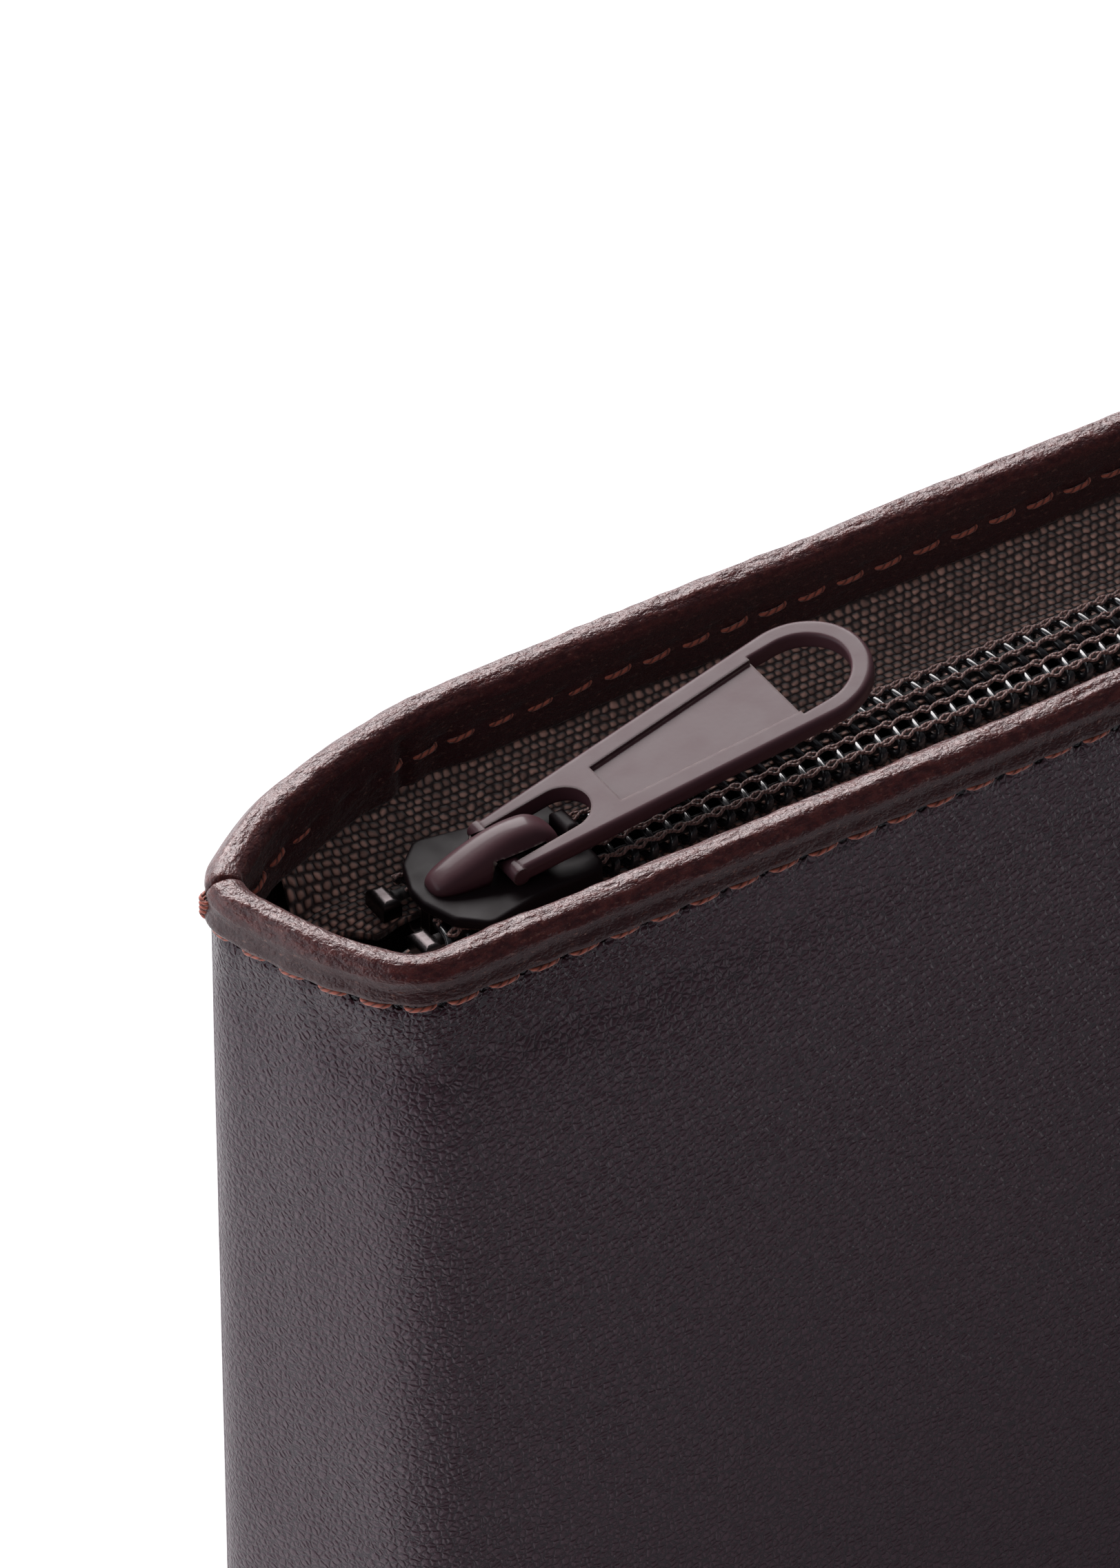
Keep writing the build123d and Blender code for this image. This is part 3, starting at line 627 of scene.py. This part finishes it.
def tubes(name, paths, radii, sides, up):
    """Round tubes of many paths at once, in the order tube, point. The ring at a point is spanned by the normal,
    which is up less its part along the tangent, and by tangent x normal. Thin end rings close them."""
    tangents = np.gradient(paths, axis=1)
    tangents /= np.linalg.norm(tangents, axis=-1, keepdims=True)
    up = np.broadcast_to(up, paths.shape)
    normals = up - tangents * np.sum(up * tangents, -1, keepdims=True)
    normals /= np.linalg.norm(normals, axis=-1, keepdims=True)
    across = np.cross(tangents, normals)
    angle = np.linspace(0, 2 * np.pi, sides, endpoint=False)
    radii = np.broadcast_to(radii, paths.shape[:2])[:, :, None, None]
    grid = paths[:, :, None] + radii * (
        normals[:, :, None] * np.cos(angle)[:, None] + across[:, :, None] * np.sin(angle)[:, None]
    )
    gaps = np.linalg.norm(np.diff(paths, axis=1), axis=-1)
    run = np.concatenate([np.zeros((len(paths), 1)), np.cumsum(gaps, 1)], 1)
    uv_u = np.repeat(run[:, :, None] / mm, sides + 1, 2)
    uv_v = np.broadcast_to(np.linspace(0, 1, sides + 1), uv_u.shape)
    return shell(name, grid, np.stack([uv_u, uv_v], -1))


def make_sewing_thread(name, dark, light, plies):
    """Twisted thread: slanting plies, a sine of length and angle, with painted shade in the grooves and fuzz."""
    material, tree, shader, where = new_finish(name, IOR=1.5, Sheen_Weight=0.3, Sheen_Roughness=0.5, Roughness=0.55)
    place = tree.nodes.new("ShaderNodeSeparateXYZ")
    tree.links.new(where.outputs["UV"], place.inputs[0])
    climb = calc(tree, "MULTIPLY", place.outputs["X"], plies)
    turns = calc(tree, "ADD", climb, calc(tree, "MULTIPLY", place.outputs["Y"], 2.0))
    ply = calc(tree, "ABSOLUTE", calc(tree, "SINE", calc(tree, "MULTIPLY", turns, math.pi)))
    fuzz = noise(tree, where.outputs["Object"], 9000.0, 2.0)
    # Painted shade and light: darker in the grooves between the plies, lighter on their crowns.
    color = blend_colors(tree, spread(tree, ply, 0.1, 0.8), dark, light)
    tree.links.new(color, shader.inputs["Base Color"])
    height = calc(tree, "ADD", ply, calc(tree, "MULTIPLY", fuzz, 0.4))
    tree.links.new(bumped(tree, height, 0.05 * mm, 0.9), shader.inputs["Normal"])
    return material


sewing_thread = make_sewing_thread("sewing_thread", (0.10, 0.018, 0.010, 1), (0.36, 0.075, 0.04, 1), 1.6)
across_stitch = np.linspace(-1, 1, 12)[None, :]
for side in ("front", "back"):
    pitch = side_lengths[side] / stitch_counts[side]
    first_holes = np.arange(stitch_counts[side])[:, None]
    distance = (first_holes + 0.5 + across_stitch * (0.5 - stitch_bite)) * pitch
    seeds = np.random.default_rng({"front": 5, "back": 6}[side])
    dive = 0.5 * mm * abs(across_stitch) ** 5
    threads = []
    for surface_inset, facing in ((0.0, 1), (binding_inner, -1)):
        tilt = seeds.uniform(0.05, 0.15, (stitch_counts[side], 1)) * mm
        lie = seeds.uniform(-0.03, 0.03, (stitch_counts[side], 1)) * mm
        inset = surface_inset + facing * (dive - 0.6 * thread_radius - lie)
        run = wall_points(side, distance, inset, seam_z + tilt * across_stitch + lie)
        threads.append(run)
    outward = wall_points(side, distance, -1.0, 0.0) - wall_points(side, distance, 0.0, 0.0)
    thickness = thread_radius * (1 - 0.3 * abs(across_stitch) ** 6)
    seam = tubes(side + "_seam_thread", np.concatenate(threads), thickness, 8, np.concatenate([outward, -outward]))
    seam.data.materials.append(sewing_thread)
    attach(seam, "pouch")
    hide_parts(side + "_mouth_stitching")

tack_heights = np.linspace(outer_edge_z + 0.25 * mm, crown_z - 1.5 * mm, 4)
tack_across = np.linspace(-1, 1, 9)
tack_runs = []
for end in (1, -1):
    for height in tack_heights:
        x = left_tip - binding_proud + 0.45 * mm + 0.55 * mm * abs(tack_across) ** 4
        y = seam_plane_y + 0.45 * mm * tack_across
        z = height + 0.12 * mm * tack_across
        tack_runs.append(np.stack([end * x, y, z], -1))
tack = tubes("tip_tacks", np.array(tack_runs), 0.14 * mm, 8, (0.0, 0.0, 1.0))
tack.data.materials.append(sewing_thread)
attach(tack, "pouch")
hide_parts("end_tacks")

# ---- zipper tapes -----------------------------------------------------------------------
# Two woven brown tapes, 0.5 mm thick. Each lies level under its coil, slopes up to the inner leg of the binding
# and turns up between that leg and the wall. Its end by the tip is cut on a slant and curls down.
tape_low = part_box("back_tape")[0]
tape_bottom = tape_low.z
tape_top = tape_bottom + tape_thickness
tape_near = tape_low.y
tape_end_x = tape_low.x
tape_slant = (4.0 * mm, 5.0 * mm)   # cut back along X over this much of Y
level_width = 5.05 * mm             # from the middle to where the tape starts to rise
leg_gap = 0.25 * mm                 # under the binding's inner leg
pocket_inset = leather + tape_thickness / 2


def wall_line_y(side, x, inset):
    """Y of the plan line, moved in by an inset, at given X."""
    line, out = side_plans[side]
    moved = line - inset * out
    return np.interp(x, moved.real, moved.imag)


def tape_surface(side, hand, along, across):
    """Upper side of a tape: along runs from end to end, across from the inner edge to the pocket. Level to
    level_width, then a gentle S up to the binding's inner leg, then upright in the pocket."""
    slope_share = 0.86
    reach = np.clip(across / slope_share, 0, 1)
    cut = tape_end_x + tape_slant[0] * (1 - np.clip(reach * 1.9, 0, 1))
    x = cut * (1 - 2 * along)
    leg_y = abs(wall_line_y(side, x, binding_inner))
    y = tape_near + (leg_y - tape_near) * reach
    y = y + (binding_inner - pocket_inset) * ramp(across, slope_share, 1.0)
    rise = inner_edge_z - leg_gap - tape_top
    z = tape_top + rise * np.clip((y - level_width) / (leg_y - level_width), 0, 1) ** 1.2
    z = z + 1.6 * mm * ramp(across, slope_share, 1.0)
    from_end = np.minimum(x - cut, -x - cut)
    z = z - 0.5 * mm * (1 - ramp(from_end, 0.0, 2.2 * mm)) * (1 - ramp(across, 0.7, slope_share))
    ease = ramp(y, level_width, level_width + 1.5 * mm) * (1 - ramp(across, 0.8, 0.95))
    z = z + 0.12 * mm * soft_noise(x, y, 7 * mm, 3 * mm, 51 + hand) * ease
    return np.stack([x, hand * y, z], -1)


def make_weave():
    """Plain weave: each thread float is a pillow, cos x cos, on a grid of cells where every second row is
    shifted by half a cell. Puts out Height and a per-float Shade."""
    group, given, result = new_group(
        "weave",
        [("Vector", "NodeSocketVector"), ("Along", "NodeSocketFloat"), ("Across", "NodeSocketFloat")],
        [("Height", "NodeSocketFloat"), ("Shade", "NodeSocketFloat")],
    )
    place = group.nodes.new("ShaderNodeSeparateXYZ")
    group.links.new(given.outputs["Vector"], place.inputs[0])
    row = calc(group, "MULTIPLY", place.outputs["Y"], given.outputs["Across"])
    row_number = calc(group, "FLOOR", row)
    shift = calc(group, "MULTIPLY", calc(group, "MODULO", row_number, 2.0), 0.5)
    column = calc(group, "ADD", calc(group, "MULTIPLY", place.outputs["X"], given.outputs["Along"]), shift)
    bulge = calc(group, "SINE", calc(group, "MULTIPLY", calc(group, "FRACT", column), math.pi))
    ridge = calc(group, "SINE", calc(group, "MULTIPLY", calc(group, "FRACT", row), math.pi))
    feed(group, calc(group, "MULTIPLY", bulge, ridge), result.inputs["Height"])
    cell = group.nodes.new("ShaderNodeCombineXYZ")
    feed(group, calc(group, "FLOOR", column), cell.inputs["X"])
    feed(group, row_number, cell.inputs["Y"])
    shade = group.nodes.new("ShaderNodeTexWhiteNoise")
    group.links.new(cell.outputs[0], shade.inputs["Vector"])
    feed(group, shade.outputs["Value"], result.inputs["Shade"])
    return group


weave = make_weave()


def make_woven(name, along, across, deep, raised, bump_height):
    """Woven cloth: floats catch light on their crests and the gaps between them are dark."""
    material, tree, shader, where = new_finish(name, IOR=1.5, Roughness=0.62, Sheen_Weight=0.25, Sheen_Roughness=0.5)
    wander = tree.nodes.new("ShaderNodeTexNoise")
    tree.links.new(where.outputs["UV"], wander.inputs["Vector"])
    wander.inputs["Scale"].default_value = 0.9
    push = tree.nodes.new("ShaderNodeVectorMath")
    push.operation = "MULTIPLY_ADD"
    tree.links.new(wander.outputs["Color"], push.inputs[0])
    push.inputs[1].default_value = (0.55, 0.45, 0)
    tree.links.new(where.outputs["UV"], push.inputs[2])
    cloth = place_group(tree, weave, Vector=push.outputs[0], Along=along, Across=across)
    varied = calc(tree, "MULTIPLY_ADD", cloth["Shade"], 0.6, 0.4)
    lit = calc(tree, "MULTIPLY", spread(tree, cloth["Height"], 0.15, 0.8), varied)
    tree.links.new(blend_colors(tree, lit, deep, raised), shader.inputs["Base Color"])
    tree.links.new(bumped(tree, cloth["Height"], bump_height, 1.0), shader.inputs["Normal"])
    return material


zipper_tape = make_woven("zipper_tape", 1.45, 2.0, (0.035, 0.016, 0.014, 1), (0.62, 0.34, 0.27, 1), 0.30 * mm)
tape_along = np.linspace(0, 1, 420)[:, None]
tape_across = np.linspace(0, 1, 46)[None, :]
for side, hand in (("front", -1), ("back", 1)):
    upper = tape_surface(side, hand, tape_along, tape_across)
    lower = upper - np.array([0, 0, tape_thickness])
    tape_grid = np.concatenate([upper, lower[:, ::-1]], 1)
    uv = tape_grid[:, :, :2] / mm
    uv = np.concatenate([uv, uv[:, :1]], 1)
    zip_tape = shell(side + "_zip_tape", tape_grid, uv)
    zip_tape.data.materials.append(zipper_tape)
    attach(zip_tape, "pouch")
    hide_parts(side + "_tape")

# ---- coils ------------------------------------------------------------------------------
# Each coil is one run of black nylon monofilament wound in flattened turns at a 1.5 mm pitch. The turns' heads
# interlock along the middle, half a pitch apart, and they part where the slider's wedge holds them.
coil_pitch = 1.5 * mm
filament = 0.31 * mm                # radius
slider_x = (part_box("slider_body")[0].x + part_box("slider_body")[1].x) / 2
chain_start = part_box("back_coil")[0].x
chain_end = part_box("back_coil")[1].x
coil_mid_z = (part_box("back_coil")[0].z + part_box("back_coil")[1].z) / 2
coil_half_width = 1.525 * mm
coil_half_height = (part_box("back_coil")[1].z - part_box("back_coil")[0].z) / 2
closed_y = 1.6 * mm
open_more = 1.0 * mm
head_overlap = 0.3 * mm


def coil_center_y(x):
    """Distance of a coil's middle from the zipper's middle line: closed behind the slider, parted at its nose."""
    return closed_y + open_more * ramp(-x, -slider_x - 0.8 * mm, -slider_x + 3.6 * mm)


def coil_turns(hand, offset):
    """The filament's line: turns of |cos|^0.7 by |sin|^0.7, longer towards the middle, that climb along X."""
    turns = int((chain_end - chain_start - filament * 2) / coil_pitch) - 1
    angle = np.linspace(0, 2 * np.pi * turns, turns * 20 + 1)
    x = chain_start + filament + offset + coil_pitch * angle / (2 * np.pi)
    cosine, sine = np.cos(angle), np.sin(angle)
    wide = np.sign(cosine) * abs(cosine) ** 0.7 * (coil_half_width - filament)
    wide = np.where(wide < 0, wide - head_overlap * abs(cosine) ** 3, wide)
    high = np.sign(sine) * abs(sine) ** 0.7 * (coil_half_height - filament)
    return np.stack([x, hand * (coil_center_y(x) + wide), coil_mid_z + high], -1)


def make_nylon():
    """Glossy black monofilament with faint draw lines."""
    material, tree, shader, where = new_finish("black_nylon", IOR=1.53, Coat_Weight=0.3, Coat_Roughness=0.1)
    lines = noise(tree, scaled(tree, where.outputs["UV"], (0.4, 9.0, 1)), 1.0, 2.0)
    color = blend_colors(tree, lines, (0.004, 0.004, 0.005, 1), (0.016, 0.015, 0.018, 1))
    tree.links.new(color, shader.inputs["Base Color"])
    feed(tree, spread(tree, lines, 0.3, 0.7, 0.16, 0.28), shader.inputs["Roughness"])
    return material


nylon = make_nylon()
for side, hand, offset in (("front", -1, 0.0), ("back", 1, coil_pitch / 2)):
    line = coil_turns(hand, offset)
    middle = np.stack([line[:, 0], hand * coil_center_y(line[:, 0]), np.full(len(line), coil_mid_z)], -1)
    coil = tubes(side + "_coil_turns", line[None], filament, 8, (line - middle)[None])
    coil.data.materials.append(nylon)
    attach(coil, "pouch")
    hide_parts(side + "_coil")

# ---- coil sewing ------------------------------------------------------------------------
# Two rows of brown chain stitch hold each coil on its tape. Every loop of a row is two strands that open between
# two turns and cross over the next.
strand = 0.12 * mm
row_spacing = 0.75 * mm             # from the coil's middle to each row
coil_top = coil_mid_z + coil_half_height
tape_thread = make_sewing_thread("tape_thread", (0.05, 0.02, 0.018, 1), (0.21, 0.105, 0.09, 1), 3.0)
for side, hand, offset in (("front", -1, 0.0), ("back", 1, coil_pitch / 2)):
    x = np.arange(chain_start + 0.5 * mm, chain_end - 0.5 * mm, coil_pitch / 8)
    beat = 2 * np.pi * (x - chain_start - offset) / coil_pitch
    strands = []
    for row in (-row_spacing, row_spacing):
        for swing in (-1, 1):
            y = hand * (coil_center_y(x) + row) + swing * 0.24 * mm * np.cos(beat / 2 + row / row_spacing) ** 3
            z = coil_top + 0.05 * mm + 0.09 * mm * np.cos(beat) + swing * 0.05 * mm * np.sin(beat)
            strands.append(np.stack([x, y, z], -1))
    rows = tubes(side + "_coil_sewing", np.array(strands), strand, 6, (0.0, 0.0, 1.0))
    rows.data.materials.append(tape_thread)
    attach(rows, "pouch")
    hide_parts(side + "_coil_stitching")

# ---- slider and pull tab ----------------------------------------------------------------
# Zinc castings in semi-gloss mauve-brown enamel; on the slider's plates it is painted near-black as shade. The enamel
# is thin and worn along the edges, and it has chipped to yellowish primer on one side of the ring, which fingers rub.


def make_edge_wear():
    """Wear mask: how far a bevelled normal leans from the surface's own, broken up by noise."""
    group, given, result = new_group(
        "edge_wear",
        [("Vector", "NodeSocketVector"), ("Radius", "NodeSocketFloat"), ("Amount", "NodeSocketFloat")],
        [("Wear", "NodeSocketFloat"), ("Edge", "NodeSocketFloat")],
    )
    bevel = group.nodes.new("ShaderNodeBevel")
    bevel.samples = 6
    feed(group, given.outputs["Radius"], bevel.inputs["Radius"])
    own = group.nodes.new("ShaderNodeNewGeometry")
    lean = group.nodes.new("ShaderNodeVectorMath")
    lean.operation = "DOT_PRODUCT"
    group.links.new(bevel.outputs[0], lean.inputs[0])
    group.links.new(own.outputs["Normal"], lean.inputs[1])
    edge = spread(group, calc(group, "SUBTRACT", 1.0, lean.outputs["Value"]), 0.02, 0.22)
    breakup = noise(group, given.outputs["Vector"], 1800.0, 3.0, 0.6)
    broken = calc(group, "MULTIPLY", edge, calc(group, "ADD", breakup, given.outputs["Amount"]))
    wear = spread(group, broken, 0.45, 0.75)
    feed(group, wear, result.inputs["Wear"])
    feed(group, edge, result.inputs["Edge"])
    return group


edge_wear = make_edge_wear()


def make_enamel(name, dark, light, coat, index):
    """Enamel: orange-peel ripple, paler thin edges, and chips to primer around the ring's far side."""
    material, tree, shader, where = new_finish(name, IOR=index, Coat_Weight=coat, Coat_Roughness=0.14)
    place = tree.nodes.new("ShaderNodeSeparateXYZ")
    tree.links.new(where.outputs["Object"], place.inputs[0])
    far_side = spread(tree, place.outputs["Y"], 1.5 * mm, 4.0 * mm)
    rubbed = calc(tree, "MULTIPLY", far_side, spread(tree, place.outputs["X"], -0.064, -0.056))
    amount = calc(tree, "MULTIPLY_ADD", rubbed, 0.4, 0.1)
    wear = place_group(tree, edge_wear, Vector=where.outputs["Object"], Radius=0.22 * mm, Amount=amount)
    mottle = noise(tree, where.outputs["Object"], 420.0, 3.0)
    paint = blend_colors(tree, mottle, dark, light)
    thin = blend_colors(tree, calc(tree, "MULTIPLY", wear["Edge"], 0.35), paint, (0.14, 0.09, 0.09, 1))
    color = blend_colors(tree, calc(tree, "MULTIPLY", wear["Wear"], 0.35), thin, (0.34, 0.28, 0.22, 1))
    tree.links.new(color, shader.inputs["Base Color"])
    feed(tree, spread(tree, mottle, 0.3, 0.7, 0.40, 0.50), shader.inputs["Roughness"])
    peel = noise(tree, where.outputs["Object"], 2600.0, 1.0)
    soft_edges = tree.nodes.new("ShaderNodeBevel")
    soft_edges.samples = 6
    soft_edges.inputs["Radius"].default_value = 0.3 * mm
    tree.links.new(bumped(tree, peel, 0.012 * mm, 0.5, soft_edges.outputs[0]), shader.inputs["Normal"])
    return material


enamel = make_enamel("pull_enamel", (0.046, 0.018, 0.023, 1), (0.066, 0.027, 0.033, 1), 0.12, 1.24)
# Painted shade: the slider's plates get a near-black copy of the pull's enamel, for the shade of the cap and pull.
shaded_plate_enamel = make_enamel("shaded_plate_enamel", (0.006, 0.003, 0.004, 1), (0.010, 0.006, 0.007, 1), 0.0, 1.18)


def finish_node(name, material):
    """Gives a CAD node that shows as it is its only material."""
    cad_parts[name].data.materials.clear()
    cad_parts[name].data.materials.append(material)


finish_node("slider_body", shaded_plate_enamel)
finish_node("pull_tab", enamel)

# The cap is a loaf over the cross bar: a half superellipse whose height climbs from the nose to a crest and
# falls a little at the tail. Its foot is lifted over the cross bar's window.
cap_low, cap_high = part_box("slider_cap")
cap_middle = slider_x
cap_x = np.linspace(cap_low.x - cap_middle, cap_high.x - cap_middle, 90)
cap_share = np.linspace(-1, 1, 90)
end_round = (1 - abs(cap_share) ** 5 * 0.999) ** 0.4
cap_tall = cap_high.z - cap_low.z + 0.15 * mm
climb = 0.36 + 0.64 * ramp(cap_x, -6.0 * mm, 1.3 * mm) - 0.30 * ramp(cap_x, 2.2 * mm, 5.2 * mm)
window = ramp(cap_x, -1.5 * mm, -1.0 * mm) * (1 - ramp(cap_x, 2.9 * mm, 3.4 * mm))
cap_foot = 1.62 * mm * window
cap_top = np.maximum(cap_tall * climb * end_round, cap_foot + 0.1 * mm)
half_wide = (cap_high.y - cap_low.y) / 2 * (0.84 + 0.16 * ramp(cap_x, -5.2 * mm, -0.5 * mm)) * end_round ** 0.8
arch = np.linspace(0, np.pi, 33)[None, :]
arch_y = np.sign(np.cos(arch)) * abs(np.cos(arch)) ** 0.75 * half_wide[:, None]
arch_z = cap_top[:, None] * abs(np.sin(arch)) ** 0.72
arch_z = np.maximum(arch_z, cap_foot[:, None])
cap_grid = np.stack([np.broadcast_to(cap_middle + cap_x[:, None], arch_y.shape), arch_y, cap_low.z + arch_z], -1)
cap = shell("slider_cap_loaf", cap_grid)
cap.data.materials.append(enamel)
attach(cap, "slider")
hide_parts("slider_cap")

# ---- stops and lock spring --------------------------------------------------------------
# Blackened metal stops are clamped on the coils at both ends of the slider's run. A leaf of spring brass under
# the cap pushes a claw between the coils when the pull lies flat.


def make_metal(name, dark, light, roughness):
    """Stamped metal: fine scratches and a tone that wanders."""
    material, tree, shader, where = new_finish(name, Metallic=1.0)
    scratches = noise(tree, scaled(tree, where.outputs["Object"], (900.0, 5200.0, 3000.0)), 1.0, 3.0)
    tree.links.new(blend_colors(tree, scratches, dark, light), shader.inputs["Base Color"])
    feed(tree, spread(tree, scratches, 0.3, 0.7, roughness, roughness + 0.12), shader.inputs["Roughness"])
    tree.links.new(bumped(tree, scratches, 0.01 * mm, 0.4), shader.inputs["Normal"])
    return material


stop_metal = make_metal("blackened_metal", (0.030, 0.026, 0.028, 1), (0.10, 0.085, 0.085, 1), 0.3)
finish_node("top_stops", stop_metal)
finish_node("bottom_stop", stop_metal)
finish_node("lock_spring", make_metal("spring_brass", (0.34, 0.23, 0.09, 1), (0.62, 0.46, 0.22, 1), 0.25))

# ---- filler cords -----------------------------------------------------------------------
# A limp black cord runs inside each coil, and the sewing rows pass round it.


def make_cord_yarn():
    """Twisted yarn: slanted plies worked from Object coordinates."""
    gloss = {"IOR": 1.5, "Roughness": 0.7, "Sheen_Weight": 0.2, "Sheen_Roughness": 0.5}
    material, tree, shader, where = new_finish("cord_yarn", **gloss)
    twist = tree.nodes.new("ShaderNodeTexWave")
    tree.links.new(scaled(tree, where.outputs["Object"], (1000.0, 600.0, 600.0)), twist.inputs["Vector"])
    twist.inputs["Scale"].default_value = 0.5
    twist.inputs["Distortion"].default_value = 1.5
    color = blend_colors(tree, twist.outputs["Fac"], (0.004, 0.003, 0.003, 1), (0.03, 0.024, 0.023, 1))
    tree.links.new(color, shader.inputs["Base Color"])
    tree.links.new(bumped(tree, twist.outputs["Fac"], 0.08 * mm, 0.8), shader.inputs["Normal"])
    return material


cord_yarn = make_cord_yarn()
finish_node("front_coil_cord", cord_yarn)
finish_node("back_coil_cord", cord_yarn)

# ---- linings ----------------------------------------------------------------------------
# Plain woven dark brown lining, 0.35 mm thick, glued to the stiffened walls and laid over the base board. Its
# upper edge stops 0.5 mm under the zipper tapes.
lining_cloth = make_woven("lining_cloth", 3.4, 3.4, (0.016, 0.008, 0.008, 1), (0.085, 0.050, 0.045, 1), 0.08 * mm)
lining_low, lining_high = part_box("front_lining")[0].z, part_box("front_lining")[1].z
lining_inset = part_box("back_panel")[1].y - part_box("back_lining")[1].y
lining_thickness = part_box("base_lining")[1].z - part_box("base_lining")[0].z
lining_heights = np.linspace(lining_low + 0.05 * mm, lining_high, 56)[None, :]
for side in ("front", "back"):
    length = side_lengths[side]
    distance = np.linspace(0.9 * mm, length - 0.9 * mm, 460)[:, None]
    ease = 0.22 * mm * (1 + soft_noise(distance, lining_heights, 26 * mm, 40 * mm, 71))
    ease = ease * ramp(lining_heights, 4 * mm, 20 * mm)
    ease = ease * ramp(distance, 1 * mm, 14 * mm) * ramp(length - distance, 1 * mm, 14 * mm)
    face = wall_points(side, distance, lining_inset + lining_thickness + ease, lining_heights)
    behind = wall_points(side, distance, lining_inset + ease, lining_heights)
    lining_grid = np.concatenate([face, behind[:, ::-1]], 1)
    uv_u = np.repeat(distance / mm, 2 * lining_heights.shape[1] + 1, 1)
    around = np.concatenate([lining_heights, lining_heights[:, ::-1], lining_heights[:, :1]], 1) / mm
    wall_lining = shell(side + "_wall_lining", lining_grid, np.stack([uv_u, np.repeat(around, len(distance), 0)], -1))
    wall_lining.data.materials.append(lining_cloth)
    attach(wall_lining, "pouch")
    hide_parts(side + "_lining")


def slab(name, inset, low, high, count, round_off=0.0):
    """A flat piece that fills the plan inside an inset of the wall's face: at each X the section is a rounded
    rectangle from the front line to the back line and from low to high. Stations crowd at the ends as
    -cos(pi t)."""
    reach = min(abs(side_plans[s][0] - inset * side_plans[s][1]).max() for s in ("front", "back"))
    x = -reach * np.cos(np.pi * np.linspace(0.004, 0.996, count))
    front, back = wall_line_y("front", x, inset), wall_line_y("back", x, inset)
    share = np.linspace(0, 1, 25)
    y = front[:, None] + (back - front)[:, None] * share
    from_edge = np.minimum(np.minimum(y - front[:, None], back[:, None] - y), reach - abs(x[:, None]))
    edge = round_off * (1 - ramp(from_edge, 0.0, max(round_off, 0.01 * mm)))
    wide_x = np.broadcast_to(x[:, None], y.shape)
    upper = np.stack([wide_x, y, np.full(y.shape, high)], -1)
    lower = np.stack([wide_x, y, low + edge], -1)
    grid = np.concatenate([upper, lower[:, ::-1]], 1)
    uv = np.concatenate([grid[:, :, :2], grid[:, :1, :2]], 1) / mm
    return shell(name, grid, uv), x, back - front


floor_low, floor_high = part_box("base_lining")[0].z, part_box("base_lining")[1].z
floor_lining, x, widths = slab("floor_lining", lining_inset, floor_low, floor_high, 320)
floor_lining.data.materials.append(lining_cloth)
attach(floor_lining, "pouch")
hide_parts("base_lining")

# ---- base -------------------------------------------------------------------------------
# The base is one piece of the same cowhide, sewn to the turned-in feet of the walls. A greyboard stiffens it, and
# a stiff fibre sheet is bonded behind each wall.
base_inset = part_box("back_panel")[1].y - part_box("base_panel")[1].y
base_leather, x, widths = slab("base_leather", base_inset, 0.0, leather, 300, 0.3 * mm)
base_leather.data.materials.append(wall_leather)
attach(base_leather, "pouch")
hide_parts("base_panel")


def make_board(name, dark, light):
    """Pressed fibre board: flecks of pulp."""
    material, tree, shader, where = new_finish(name, IOR=1.5, Roughness=0.85)
    pulp = noise(tree, where.outputs["Object"], 1400.0, 3.0, 0.65)
    tree.links.new(blend_colors(tree, pulp, dark, light), shader.inputs["Base Color"])
    tree.links.new(bumped(tree, pulp, 0.05 * mm, 0.5), shader.inputs["Normal"])
    return material


finish_node("base_board", make_board("greyboard", (0.12, 0.105, 0.09, 1), (0.26, 0.235, 0.205, 1)))
fibre_sheet = make_board("fibre_sheet", (0.05, 0.03, 0.026, 1), (0.11, 0.07, 0.06, 1))
finish_node("front_interlining", fibre_sheet)
finish_node("back_interlining", fibre_sheet)

# ---- base and side seams ----------------------------------------------------------------
# The seams that join the walls to the base and to each other run inside the turned-in edges, in the same waxed
# thread.


def make_seam_yarn():
    """Thread seen edge-on: stitches 3 mm long on Object coordinates, with painted shade, near-black, in the gaps
    between them.
    """
    material, tree, shader, where = new_finish("seam_yarn", IOR=1.5, Roughness=0.55)
    place = tree.nodes.new("ShaderNodeSeparateXYZ")
    tree.links.new(where.outputs["Object"], place.inputs[0])
    run = calc(tree, "ADD", place.outputs["X"], place.outputs["Z"])
    beat = calc(tree, "PINGPONG", calc(tree, "MULTIPLY", run, 1 / stitch_pitch), 0.5)
    # Painted shade: near-black in the gaps between the stitches.
    color = blend_colors(tree, spread(tree, beat, 0.03, 0.12), (0.006, 0.003, 0.003, 1), (0.26, 0.055, 0.03, 1))
    tree.links.new(color, shader.inputs["Base Color"])
    tree.links.new(bumped(tree, spread(tree, beat, 0.0, 0.2), 0.1 * mm, 0.7), shader.inputs["Normal"])
    return material


seam_yarn = make_seam_yarn()
finish_node("base_seam_stitching", seam_yarn)
finish_node("side_seam_stitching", seam_yarn)
